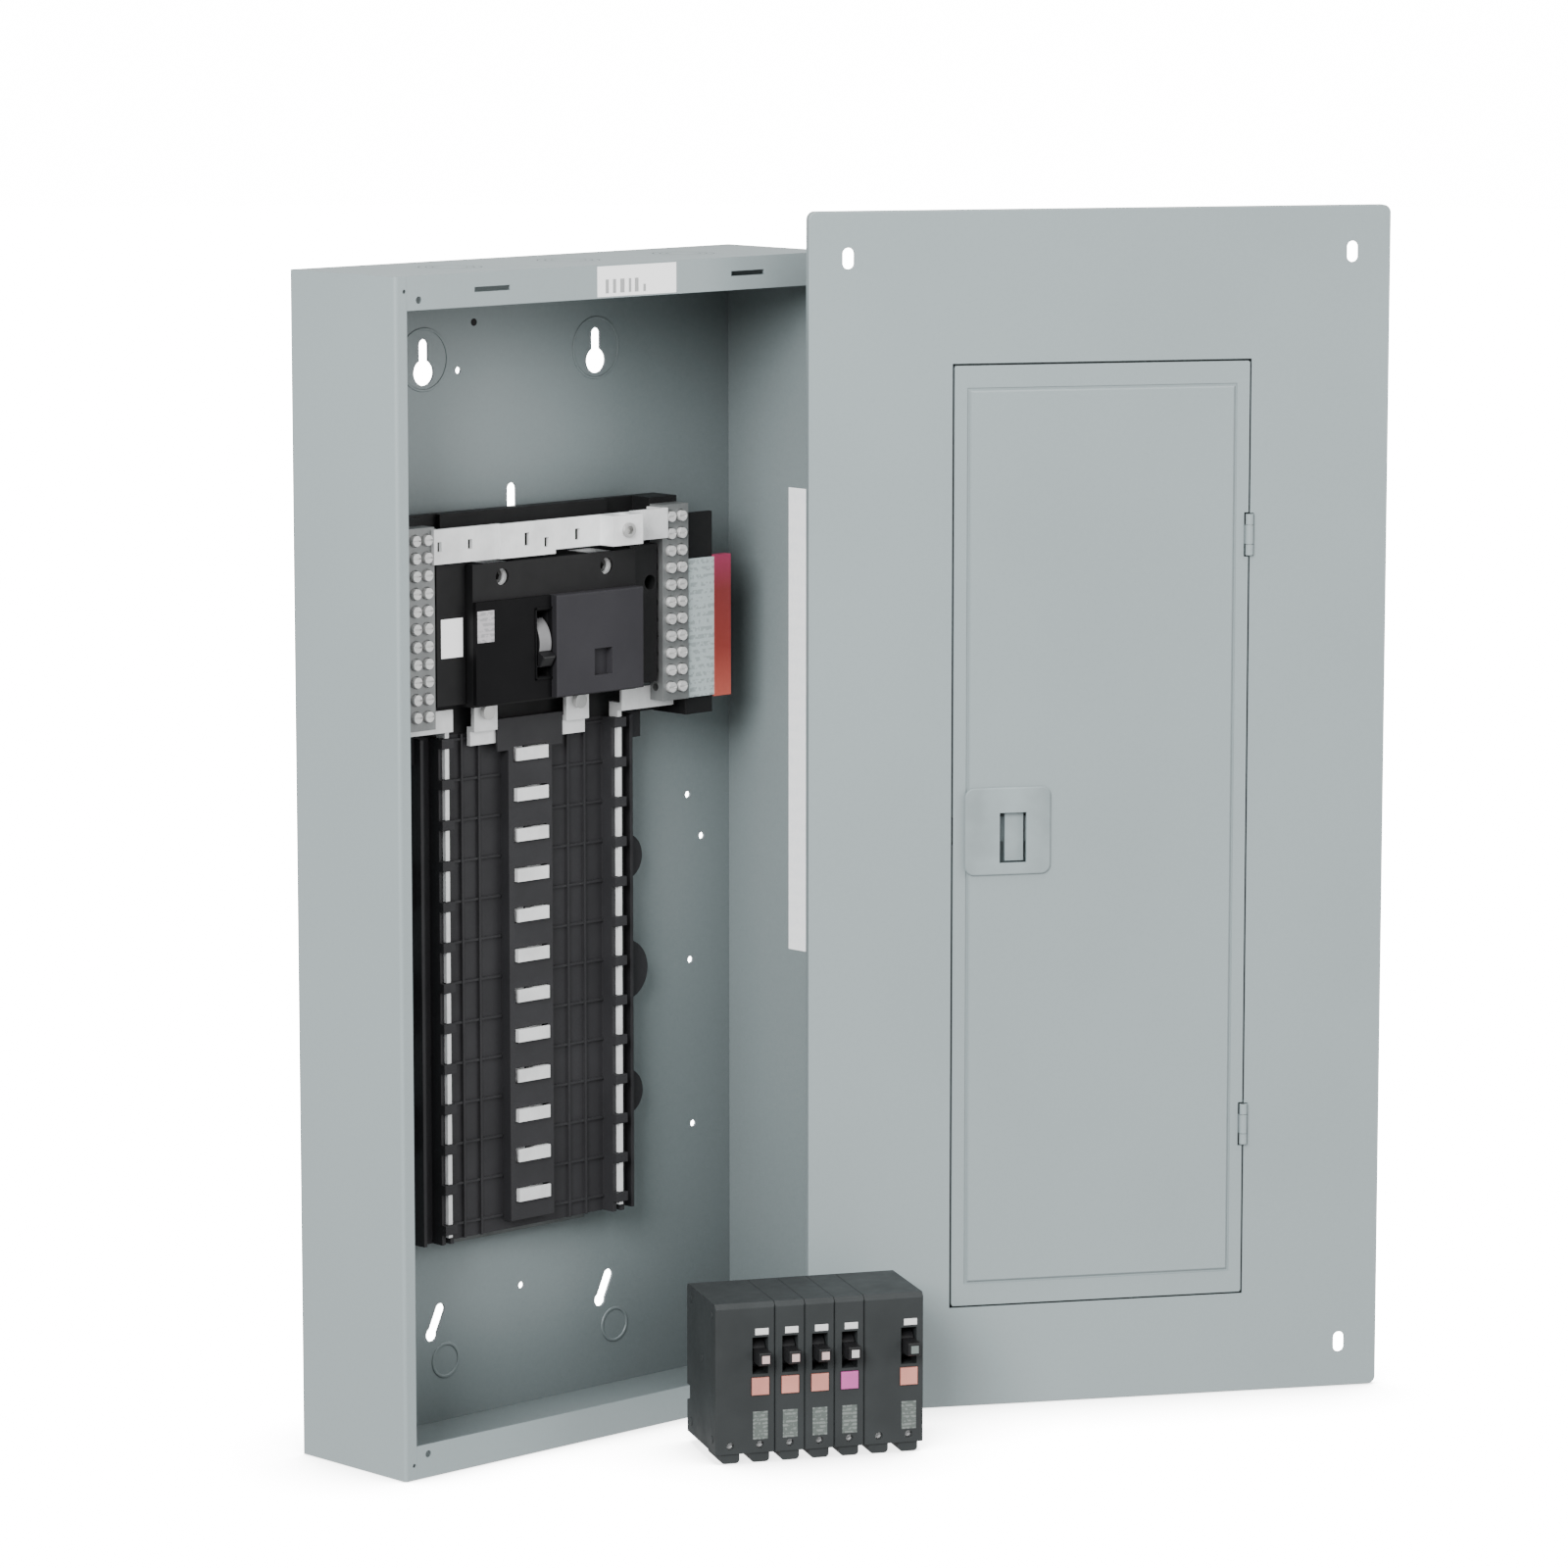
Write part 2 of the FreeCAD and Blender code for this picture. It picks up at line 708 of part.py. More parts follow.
def neutral_strap():
    """Stepped strap across the terminal bars, with flanges bolted to their inner faces."""
    end = "bar_x - bar_width / 2"
    reach = f"{end} + strap_reach"
    front, back = "strap_front", "strap_front + strap_thick"
    raised, raised_back = "strap_front - strap_step", "strap_front - strap_step + strap_thick"
    low, high = "strap_low", "strap_high"
    left, right = "strap_step_left", "strap_step_right"
    pieces = [
        between(f"-({reach})", f"{left} + strap_thick", front, back, low, high),
        between(left, f"{left} + strap_thick", raised, back, low, high),
        between(left, f"{right} + strap_thick", raised, raised_back, low, high),
        between(right, f"{right} + strap_thick", raised, back, low, high),
        between(right, reach, front, back, low, high),
    ]
    pieces += mirror_pair(f"{end} - strap_thick", end, front, "bar_back", low, high)
    middle = "(strap_low + strap_high) / 2"
    tools = [between("0", "bar_x", f"{raised} - 1", "bar_back + 1", f"{low} - 1", f"{low} + strap_rise")]
    slots = ((-92, 1.6, 3, 0), (-67.5, 1.7, 3, 0), (-23.5, 1.9, 4, 0), (-7.5, 1.7, 3, -3), (18, 1.9, 3.5, 0))
    for x, half, rise, lift in slots:
        z = f"{middle} + ({lift})"
        x, x_end = f"{x} - {half}", f"{x} + {half}"
        tools.append(between(x, x_end, f"{raised} - 1", "strap_front + 5", f"{z} - {rise}", f"{z} + {rise}"))
    node("neutral_strap", cut(fuse(pieces), tools), "interior")
    screws = []
    for start in (f"-({end}) + strap_thick", f"{end} - strap_thick - 2.4"):
        screws.append(rod("x", start, "bar_back - 4.5", middle, 4, 2.4))
    node("strap_screws", group(screws), "interior")


def bonding_screw():
    """Green screw beside the right terminal bar that ties the neutral to the enclosure's back."""
    x, z = "bar_x - bar_width / 2 - 9", "bar_low + bond_rise"
    head = rod("y", x, "bar_back + 2", z, 4.2, 2.6)
    shank = rod("y", x, "bar_back + 4", z, 2.2, "box_depth - steel - bar_back - 4")
    slot = between(f"{x} - 5", f"{x} + 5", "bar_back + 1", "bar_back + 3", f"{z} - 0.6", f"{z} + 0.6")
    node("bonding_screw", cut(fuse([head, shank]), [slot]), "interior")


def neutral_lug():
    """Service neutral lug on the strap, with its hexagon socket screw."""
    low = "strap_low + strap_rise"
    middle, z = "lug_left + lug_width / 2", f"({low} + strap_high) / 2"
    back = "strap_front - strap_step"
    lug = between("lug_left", "lug_left + lug_width", "lug_front", back, low, "strap_high")
    bore = rod("z", middle, "lug_front + 6.2", f"{low} - 1", "lug_bore", "strap_high - strap_low + 2")
    socket = rod("y", middle, "lug_front - 1", z, "line_screw + screw_slack", 5)
    node("neutral_lug", cut(cut(lug, [bore]), [socket]), "interior")
    screw = rod("y", middle, "lug_front - 2", z, "line_screw", 5)
    node("neutral_lug_screw", cut(screw, [hexagon_socket(middle, "lug_front - 3", z, 4)]), "interior")


def main_carrier():
    """Black moulded tray round the main breaker, with arms for the terminal bars and the label wing."""
    bar_end = "bar_x + bar_width / 2"
    pieces = [
        between("-carrier_half", "carrier_half", "base_depth", "floor_depth", "base_high", "carrier_high"),
        between(f"-({bar_end})", bar_end, "base_depth", "floor_depth", "main_high - 6", "carrier_high"),
    ]
    side, side_end = "main_half + 1", "bar_x - bar_width / 2 - 3"
    pieces += mirror_pair(side, side_end, "main_split + 6", "base_depth", "bar_low + 13", "main_high + 1")
    x, x_end = "-main_half - 2", "main_half + 2"
    front = "base_depth - 4"
    pieces.append(between(x, x_end, front, "base_depth", "main_high + 0.5", "carrier_high"))
    post = f"{bar_end} + 1"
    pieces += mirror_pair(side_end, post, "bar_back", "floor_depth", "bar_low + 11", "bar_low + 25")
    pieces += mirror_pair(f"{side_end} + 3", post, "bar_back", "floor_depth", "main_high - 6", "carrier_high")
    wing_low = "plate_low - 11"
    pieces.append(between(post, f"{post} + 4", "wing_depth", "floor_depth", wing_low, "wing_high"))
    pieces.append(between(post, "wing_right", "wing_depth", "wing_depth + 3", wing_low, "wing_high"))
    foot = "carrier_half - 2"
    pieces.append(between(foot, f"{post} + 1", "base_depth", "floor_depth", "base_high", "base_high + 12"))
    spot = "bar_x - bar_width / 2 - 9"
    hole = rod("y", spot, "main_split", "bar_low + bond_rise", "4.6", 60)
    node("main_carrier", cut(fuse(pieces), [hole]), "interior")


def label_wing():
    """Pale label plate on the wing and the red edge band beside it."""
    front = "wing_depth - 2"
    left = "bar_x + bar_width / 2 + 1.2"
    plate = between(left, "band_left", front, "wing_depth", "plate_low", "plate_high")
    node("label_plate", plate, "interior")
    low, high = "plate_low - 1", "plate_high + 1"
    edge = between("band_left", "band_right", f"{front} - 0.5", "wing_depth", low, high)
    tab = between("wing_right", "band_right", "wing_depth", "wing_depth + 3", low, high)
    node("label_band", fuse([edge, tab]), "interior")


def main_breaker():
    """Two-pole main breaker: housing, front cover, handle, line lugs and load straps."""
    housing = between("-main_half", "main_half", "main_split", "base_depth", "main_low", "main_high")
    wells = []
    for side in ("", "-"):
        x = f"{side}line_lug_x"
        left, right = f"{x} - 13", f"{x} + 13"
        front, back = "main_split + 2", "base_depth - 3"
        wells.append(between(left, right, front, back, "cover_top - 6", "main_high + 1"))
        wells.append(rod("y", x, "main_split - 1", "main_high - 9", "line_screw + 0.6", 6))
    slot = "handle_width / 2 + handle_slack"
    reach = "handle_drum + handle_slack"
    wells.append(
        between(
            f"handle_x - ({slot})",
            f"handle_x + {slot}",
            "main_split - 1",
            f"handle_axis + {reach}",
            "handle_z - handle_slot",
            "handle_z + handle_slot",
        )
    )
    node("main_housing", cut(housing, [fuse(wells)]), "interior")

    body = start_body("front_cover")
    outline = sketch_on(body, "XZ_Plane", "-main_front")
    rectangle(outline, "-main_half", "main_low + 1.5", "main_half", "cover_top")
    pad(body, outline, "main_split - main_front", reverse=True)
    panel = sketch_on(body, "XZ_Plane", "-(main_front - main_raise)")
    rectangle(panel, "panel_left", "main_low + 1.5", "main_half", "cover_top")
    pad(body, panel, "main_raise + 1", reverse=True)
    handle_slot = sketch_on(body, "XZ_Plane", "-(main_front - main_raise - 1)")
    rectangle(
        handle_slot,
        f"handle_x - ({slot})",
        "handle_z - handle_slot",
        f"handle_x + {slot}",
        "handle_z + handle_slot",
    )
    pocket(body, handle_slot, "main_split")
    recess = sketch_on(body, "XZ_Plane", "-(main_front - main_raise - 1)")
    rectangle(
        recess,
        "pocket_x - pocket_width / 2",
        "pocket_z - pocket_height / 2",
        "pocket_x + pocket_width / 2",
        "pocket_z + pocket_height / 2",
    )
    pocket(body, recess, "pocket_depth + 1")
    front = SIZES["main_front"] - SIZES["main_raise"]

    def panel_rim(edge):
        return all(abs(v.Y - front) < 0.01 for v in edge.Vertexes) and edge.Length > 50

    body_edges(body, 1, panel_rim)
    node("main_cover", body, "interior")

    left = "handle_x - handle_width / 2"
    drum = rod("x", left, "handle_axis", "handle_z", "handle_drum", "handle_width")
    lever = block(0, "-handle_reach", "-handle_height / 2", "handle_width", "handle_reach", "handle_height")
    tip = -SIZES["handle_reach"]
    lever = round_edges(lever, 1.5, lambda edge: all(abs(v.Y - tip) < 0.01 for v in edge.Vertexes))
    leaning = group([lever])
    leaning.Placement = FreeCAD.Placement(FreeCAD.Vector(), FreeCAD.Rotation(FreeCAD.Vector(1, 0, 0), 1))
    bind(leaning, Placement__Rotation__Angle="handle_rest")
    settle(leaning, left, "handle_axis", "handle_z")
    node("main_handle", fuse([drum, leaning]), "interior")

    lugs = []
    screws = []
    for side in ("", "-"):
        x = f"{side}line_lug_x"
        left, right = f"{x} - 11.5", f"{x} + 11.5"
        lug = between(left, right, "main_split + 4", "base_depth - 3", "cover_top - 6", "main_high - 1")
        bore = rod("z", x, "main_split + 18", "cover_top - 7", "line_lug_bore", 30)
        socket = rod("y", x, "main_split + 3", "main_high - 9", "line_screw + screw_slack", 10)
        lugs.append(cut(cut(lug, [bore]), [socket]))
        screw = rod("y", x, "main_split + 6", "main_high - 9", "line_screw", 6)
        screws.append(cut(screw, [hexagon_socket(x, "main_split + 5", "main_high - 9", 5)]))
    node("line_lugs", group(lugs), "interior")
    node("line_lug_screws", group(screws), "interior")

    straps = []
    bolts = []
    for side in (-1, 1):
        x, x_end = "load_strap_x - load_strap_width / 2", "load_strap_x + load_strap_width / 2"
        inner = "bus_gap / 2 + 1"
        if side < 0:
            x, x_end, inner = f"-({x_end})", f"-({x})", f"-({inner})"
        # The strap stands between the breaker's lower face and the end of its bus bar.
        riser = between(x, x_end, "bus_depth - 7", "bus_depth - 4", "load_strap_low", "main_low")
        step = between(x, x_end, "bus_depth - 7", "bus_depth", "load_strap_low", "load_strap_low + 3")
        foot = [x, inner] if side < 0 else [inner, x_end]
        link = between(*foot, "bus_depth - 3", "bus_depth", "load_strap_low - 9", "load_strap_low + 3")
        straps.append(fuse([riser, step, link]))
        spot = f"{side} * load_strap_x"
        bolts.append(rod("y", spot, "bus_depth - 10.5", "load_strap_low + 12", 4.6, 3.5))
    node("load_straps", group(straps), "interior")
    node("load_strap_screws", group(bolts), "interior")


# Cover and door. Here x runs along the cover, y is depth behind its front face and z is up.


def cover_plate():
    """Flat cover with a rim all round, a door opening, hinge notches and four oblong screw holes."""
    body = start_body("cover_sheet")
    outline = sketch_on(body, "XZ_Plane")
    rectangle(outline, "0", "0", "cover_width", "cover_height")
    pad(body, outline, "cover_rim", reverse=True)
    body_edges(body, "cover_corner", lambda edge: runs_along(edge, "y"))
    hollow = sketch_on(body, "XZ_Plane", "-steel")
    rectangle(hollow, "steel", "steel", "cover_width - steel", "cover_height - steel")
    pocket(body, hollow, "cover_rim")
    body_edges(body, "0.8", lambda edge: all(abs(v.Y) < 0.01 for v in edge.Vertexes))
    opening = sketch_on(body, "XZ_Plane", "steel")
    rectangle(
        opening,
        "door_left - door_gap",
        "door_low - door_gap",
        "door_right + door_gap",
        "door_high + door_gap",
    )
    pocket(body, opening, "4 * steel")
    tools = []
    for z in ("hinge_low", "hinge_high"):
        low, high = f"{z} - hinge_half - 0.5", f"{z} + hinge_half + 0.5"
        tools.append(between("hinge_u", "hinge_u + 3.1", "-steel", "2 * steel", low, high))
    for x in ("cover_hole_u", "cover_width - cover_hole_u"):
        for z in ("cover_hole_z", "cover_height - cover_hole_z"):
            low, high = f"{z} - cover_hole_rise", f"{z} + cover_hole_rise"
            left, right = f"{x} - cover_hole_half", f"{x} + cover_hole_half"
            slot = [
                rod("y", x, "-steel", low, "cover_hole_half", "3 * steel"),
                rod("y", x, "-steel", high, "cover_hole_half", "3 * steel"),
                between(left, right, "-steel", "2 * steel", low, high),
            ]
            tools.append(fuse(slot))
    node("cover_plate", cut(body, tools), "cover")


def space_x(side):
    """Low and high edge of a column of breaker spaces, from the interior's centre line."""
    middle = "cover_width / 2 + interior_shift"
    if side > 0:
        return f"{middle} + space_inner", f"{middle} + space_inner + space_width"
    return f"{middle} - space_inner - space_width", f"{middle} - space_inner"


def dead_front():
    """Recessed pan behind the door, with a column of spaces on each side and the main handle's window."""
    outer = between("front_left", "front_right", "steel", "front_depth", "front_low", "front_high")
    hollow = between(
        "front_left + steel",
        "front_right - steel",
        "0",
        "front_depth - steel",
        "front_low + steel",
        "front_high - steel",
    )
    low = f"{row_z(0)} - row_pitch / 2 + cover_lap"
    high = f"{row_z(SIZES['row_count'])} - row_pitch / 2 + cover_lap"
    windows = []
    for side in (-1, 1):
        windows.append(between(*space_x(side), "steel", "front_depth + 1", low, high))
    middle = "cover_width / 2 + interior_shift + handle_x"
    z = "handle_z + cover_lap"
    left, right = f"{middle} - 14", f"{middle} + 14"
    windows.append(between(left, right, "steel", "front_depth + 1", f"{z} - 26", f"{z} + 26"))
    node("dead_front", cut(cut(outer, [hollow]), windows), "cover")
    fillers = []
    for side in (-1, 1):
        for number in range(SIZES["row_count"]):
            z = f"{row_z(number)} + cover_lap"
            half = "(row_pitch - space_gap) / 2"
            front, back = "front_depth - steel", "front_depth - 0.3"
            fillers.append(between(*space_x(side), front, back, f"{z} - {half}", f"{z} + {half}"))
    node("space_fillers", group(fillers), "cover")


def door_panel():
    """Door with returned edges, a raised inner field, and cut-outs for the latch, tongue and hinges."""
    body = start_body("door_sheet")
    outline = sketch_on(body, "XZ_Plane", "door_proud")
    rectangle(outline, "door_left", "door_low", "door_right", "door_high")
    pad(body, outline, "door_return", reverse=True)
    body_edges(body, "1.5", lambda edge: runs_along(edge, "y"))
    field = sketch_on(body, "XZ_Plane", "door_proud + field_rise")
    rectangle(
        field,
        "door_left + field_inset",
        "door_low + field_end",
        "door_right - field_inset",
        "door_high - field_end",
    )
    pad(body, field, "field_rise + 0.2", reverse=True)
    crest = -SIZES["door_proud"] - SIZES["field_rise"]
    on_crest = lambda edge: all(abs(v.Y - crest) < 0.01 for v in edge.Vertexes)
    body_edges(body, "field_rise - 0.2", on_crest, "PartDesign::Chamfer")
    hollow = sketch_on(body, "XZ_Plane", "door_proud - door_sheet")
    rectangle(
        hollow,
        "door_left + door_sheet",
        "door_low + door_sheet",
        "door_right - door_sheet",
        "door_high - door_sheet",
    )
    pocket(body, hollow, "door_return")
    crease = sketch_on(body, "XZ_Plane", "door_proud + field_rise")
    for grow in ("0", "crease_width"):
        rectangle(
            crease,
            f"door_left + field_inset - {grow}",
            f"door_low + field_end - {grow}",
            f"door_right - field_inset + {grow}",
            f"door_high - field_end + {grow}",
        )
    pocket(body, crease, "field_rise + crease_depth")
    latch_hole = sketch_on(body, "XZ_Plane", "2 * latch_proud")
    rectangle(
        latch_hole,
        "latch_left + 3",
        "latch_low + 3",
        "latch_left + latch_side - 3",
        "latch_low + latch_side - 3",
    )
    pocket(body, latch_hole, "4 * latch_proud")
    low, high = "tongue_low - 0.6", "tongue_low + tongue_height + 0.6"
    tools = [between("door_left - 1", "door_left + 3", "1", "door_return", low, high)]
    for z in ("hinge_low", "hinge_high"):
        low, high = f"{z} - hinge_half - 1", f"{z} + hinge_half + 1"
        tools.append(between("hinge_u - 3.4", "hinge_u + 2", "-4", "2 * door_return", low, high))
    node("door_panel", cut(body, tools), "cover")
    inside = "door_sheet - door_proud"
    left, right = "door_left + 22", "door_right - 30"
    card = between(left, right, inside, f"{inside} + 0.4", "door_low + 350", "door_high - 40")
    node("directory_card", card, "cover")


def hinges():
    """Leaves with knuckles on the door, brackets with ears on the cover, and their pins."""
    leaves = []
    brackets = []
    pins = []
    inside = "door_sheet - door_proud"
    behind = f"{inside} + 1.2"
    for z in ("hinge_low", "hinge_high"):
        low, high = f"{z} - hinge_half", f"{z} + hinge_half"
        inner_low, inner_high = f"{z} - knuckle_half", f"{z} + knuckle_half"
        leaf = between("hinge_u - 22", "hinge_u - 5.8", inside, behind, f"{low} + 1", f"{high} - 1")
        tongue = between("hinge_u - 6", "hinge_u", inside, behind, inner_low, inner_high)
        knuckle = rod("z", "hinge_u", "hinge_v", inner_low, "knuckle", "2 * knuckle_half")
        running = "pin_radius + pin_slack"
        bore = rod("z", "hinge_u", "hinge_v", f"{inner_low} - 1", running, "2 * knuckle_half + 2")
        leaves.append(cut(fuse([leaf, tongue, knuckle]), [bore]))
        pieces = [between("door_right + door_gap + 1", "hinge_u + 18", "steel", "steel + 1.2", low, high)]
        ear = "hinge_half - knuckle_half - knuckle_gap"
        for foot in (low, f"{z} + knuckle_half + knuckle_gap"):
            pieces.append(rod("z", "hinge_u", "hinge_v", foot, "knuckle", ear))
            right, top = "hinge_u + 2.8", f"{foot} + {ear}"
            pieces.append(between("hinge_u", right, "hinge_v + 0.4", "steel + 1.2", foot, top))
        hole = rod("z", "hinge_u", "hinge_v", f"{z} - hinge_half - 1", "pin_radius", "2 * hinge_half + 2")
        brackets.append(cut(fuse(pieces), [hole]))
        pins.append(rod("z", "hinge_u", "hinge_v", f"{z} - hinge_half", "pin_radius", "2 * hinge_half"))
    node("hinge_leaves", group(leaves), "cover")
    node("hinge_brackets", group(brackets), "cover")
    node("hinge_pins", group(pins), "cover")


def latch():
    """Square latch housing with a finger recess, its sliding tongue and the spring that returns it."""
    face = "-latch_proud"
    skin = "-(door_proud + field_rise)"
    right, high = "latch_left + latch_side", "latch_low + latch_side"
    flange = between("latch_left", right, face, f"{skin} - 0.7", "latch_low", high)
    flange = round_edges(flange, SIZES["latch_corner"], lambda edge: runs_along(edge, "y"))
    front = 0.01 - SIZES["latch_proud"]
    flange = round_edges(flange, 1, lambda edge: all(v.Y < front for v in edge.Vertexes))
    low, inset = "latch_low", "latch_shadow"
    left_edge, right_edge = f"latch_left + {inset}", f"{right} - {inset}"
    neck = between(left_edge, right_edge, f"{skin} - 0.7", skin, f"{low} + {inset}", f"{high} - {inset}")
    left_edge, right_edge = "latch_left + 3.3", f"{right} - 3.3"
    shell = between(left_edge, right_edge, skin, "tongue_back + 2", f"{low} + 3.3", f"{high} - 3.3")
    window = between(
        "recess_left",
        "recess_left + recess_width",
        f"{face} - 1",
        "0",
        "recess_low",
        "recess_low + recess_height",
    )
    cavity = between(
        "recess_left - 1",
        "tab_left + tab_width + 7.6",
        f"{skin} + 0.1",
        "tongue_back + 0.3",
        "recess_low - 1.5",
        "recess_low + recess_height + 1.5",
    )
    channel = between(
        "latch_left - 2",
        "tongue_right + 7.6",
        "tongue_front - 0.3",
        "tongue_back + 0.3",
        "tongue_low - 0.3",
        "tongue_low + tongue_height + 0.3",
    )
    node("latch_housing", cut(fuse([flange, neck, shell]), [fuse([window, cavity, channel])]), "cover")
    tab = between(
        "tab_left",
        "tab_left + tab_width",
        f"{skin} + tab_sunk",
        "tongue_front",
        "recess_low + 0.6",
        "recess_low + recess_height - 0.6",
    )
    tongue = between(
        "tongue_left",
        "tongue_right",
        "tongue_front",
        "tongue_back",
        "tongue_low",
        "tongue_low + tongue_height",
    )
    node("latch_slider", fuse([tab, tongue]), "cover")
    # The spring is a thin strip folded to and fro between the tongue's end and the channel's.
    body = start_body("spring_strip")
    zigzag = sketch_on(body, "XY_Plane", "tongue_low + 3")
    near, far = "tongue_front + 0.2", "tongue_back - 0.2"
    folds = [("0", near), ("2.5", far), ("5", near), ("7.5", far)]
    front = [(f"tongue_right + {shift}", f"{edge} - 0.4" if edge is far else edge) for shift, edge in folds]
    back = [(f"tongue_right + {shift}", edge if edge is far else f"{edge} + 0.4") for shift, edge in folds]
    polygon(zigzag, front + back[::-1])
    pad(body, zigzag, "tongue_height - 6")
    node("latch_spring", body, "cover")


# Branch breakers. Here x runs along the set, y is depth behind the front faces and z is up.


def breaker(label, first_pole, poles):
    """One breaker: case, toggle handle, test button and terminals. The last pole carries the handle."""
    frame = f"{label}_frame"
    offset = f"{first_pole} * pole + pole_gap / 2"
    FRAMES[frame] = (
        f"set_x + ({offset}) * cos(set_turn * 1deg)",
        f"set_y + ({offset}) * sin(set_turn * 1deg)",
        "0",
        "set_turn",
    )
    width = f"{poles} * pole - pole_gap"
    handled = f"{poles - 1} * pole + (pole - pole_gap) / 2"

    body = start_body(f"{label}_body")
    profile = sketch_on(body, "YZ_Plane")
    back, top, foot, chamfer = "case_depth", "case_height", "case_foot", "case_chamfer"
    polygon(
        profile,
        [
            ("0", foot),
            (back, foot),
            (back, "jaw_low - 14"),
            (f"{back} - 6", "jaw_low - 12"),
            (f"{back} - 6", "jaw_low - 4"),
            (back, "jaw_low - 4"),
            (back, f"{top} - 2"),
            (f"{back} - 2", top),
            (chamfer, top),
            ("0", f"{top} - {chamfer}"),
        ],
    )
    pad(body, profile, width)
    on_front = lambda edge: runs_along(edge, "z") and abs(edge.Vertexes[0].Y) < 0.01
    body_edges(body, "case_edge", on_front, "PartDesign::Chamfer")
    # Rounded shrouds under each pole, which the breaker stands on.
    shrouds = []
    bores = []
    for number in range(poles):
        centre = f"{number} * pole + (pole - pole_gap) / 2"
        left, right = f"{centre} - foot_width / 2", f"{centre} + foot_width / 2"
        shroud = between(left, right, "1", "30", "0", f"{foot} + 1")
        at_bottom = lambda edge: runs_along(edge, "y") and edge.Vertexes[0].Z < 1
        shrouds.append(round_edges(shroud, 2.5, at_bottom))
        bores.append(rod("y", centre, "-1", f"{foot} + 5", "2.4", 16))
        bores.append(between(f"{centre} - 3.4", f"{centre} + 3.4", "8", "24", "-1", f"{foot} + 12"))
        left, right = f"{centre} - 4", f"{centre} + 4"
        bores.append(between(left, right, f"{back} - 18", f"{back} + 1", "jaw_low", "jaw_low + 16"))
    bores.append(
        between(
            f"{handled} - slot_width / 2",
            f"{handled} + slot_width / 2",
            "-1",
            "slot_depth",
            "toggle_z - slot_half",
            "toggle_z + slot_half",
        )
    )
    side = "button_side / 2 + button_slack"
    low, high = "button_low - button_slack", "button_low + button_side + button_slack"
    bores.append(between(f"{handled} - ({side})", f"{handled} + {side}", "-1", "button_depth + 2", low, high))
    node(f"{label}_case", cut(fuse([body] + shrouds), [group(bores)]), frame)

    left, right = f"{handled} - toggle_width / 2", f"{handled} + toggle_width / 2"
    drum = rod("x", left, "toggle_axis", "toggle_z", "toggle_drum", "toggle_width")
    low, high = "toggle_z - toggle_height / 2", "toggle_z + toggle_height / 2"
    lever = between(left, right, "-toggle_proud", "toggle_axis", low, high)
    tip = -SIZES["toggle_proud"]
    lever = round_edges(lever, 1.2, lambda edge: all(abs(v.Y - tip) < 0.01 for v in edge.Vertexes))
    node(f"{label}_handle", fuse([drum, lever]), frame)

    left, right = f"{handled} - button_side / 2", f"{handled} + button_side / 2"
    high = "button_low + button_side"
    button = between(left, right, "-button_proud", "button_depth", "button_low", high)
    front = -SIZES["button_proud"]
    button = round_edges(button, 0.8, lambda edge: all(abs(v.Y - front) < 0.01 for v in edge.Vertexes))
    node(f"{label}_test_button", button, frame)

    terminals = []
    for number in range(poles):
        centre = f"{number} * pole + (pole - pole_gap) / 2"
        lug = between(f"{centre} - 3.2", f"{centre} + 3.2", "10", "22", f"{foot} - 2", f"{foot} + 12")
        terminals.append(lug)
        screw = rod("y", centre, "4", f"{foot} + 5", "2.3", 6)
        slot = between(f"{centre} - 4", f"{centre} + 4", "3", "5", f"{foot} + 4.6", f"{foot} + 5.4")
        terminals.append(cut(screw, [slot]))
        for blade in (-3.4, 2.2):
            x = f"{centre} + ({blade})"
            rear, front = f"{back} - 2", f"{back} - 18"
            terminals.append(between(x, f"{x} + 1.2", front, rear, "jaw_low + 3", "jaw_low + 13"))
    node(f"{label}_terminals", group(terminals), frame)


box_wrapper()
box_end("box_bottom_end", "0", "0", "-knockout_score", False)
box_end("box_top_end", "box_height - steel", "box_height - end_return", "box_height - knockout_score", True)
interior_pan()
bus_base()
stab_ridge()
bus_bar("bus_bar_left", -1, 0)
bus_bar("bus_bar_right", 1, 1)
neutral_rail("neutral_rail_left", -1)
neutral_rail("neutral_rail_right", 1)
neutral_bar("neutral_bar_left", "-")
neutral_bar("neutral_bar_right", "")
neutral_screws()
neutral_strap()
bonding_screw()
neutral_lug()
main_carrier()
label_wing()
main_breaker()
cover_plate()
dead_front()
door_panel()
hinges()
latch()
BREAKERS = (
    ("double_left", 0, 2),
    ("single_left", 2, 1),
    ("single_middle", 3, 1),
    ("single_right", 4, 1),
    ("double_right", 5, 2),
)
for name, first, count in BREAKERS:
    breaker(name, first, count)

doc.recompute()
for thing in doc.Objects:
    if "Invalid" in thing.State or "Error" in thing.State:
        raise ValueError(f"{thing.Name} ({thing.Label}) failed: {thing.State}")
os.makedirs("parts", exist_ok=True)
for thing in nodes:
    if thing.Shape.isNull() or not thing.Shape.isValid():
        raise ValueError(f"{thing.Label} has no valid shape")
    solids = len(thing.Shape.Solids)
    print(f"{thing.Label}: {solids} solid(s), {thing.Shape.Volume:.0f} mm3")
    thing.Shape.exportStep(f"parts/{thing.Label}.step")
print(len(nodes), "nodes")
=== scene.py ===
import json
import math

import bmesh
import bpy
from mathutils import Matrix, Vector


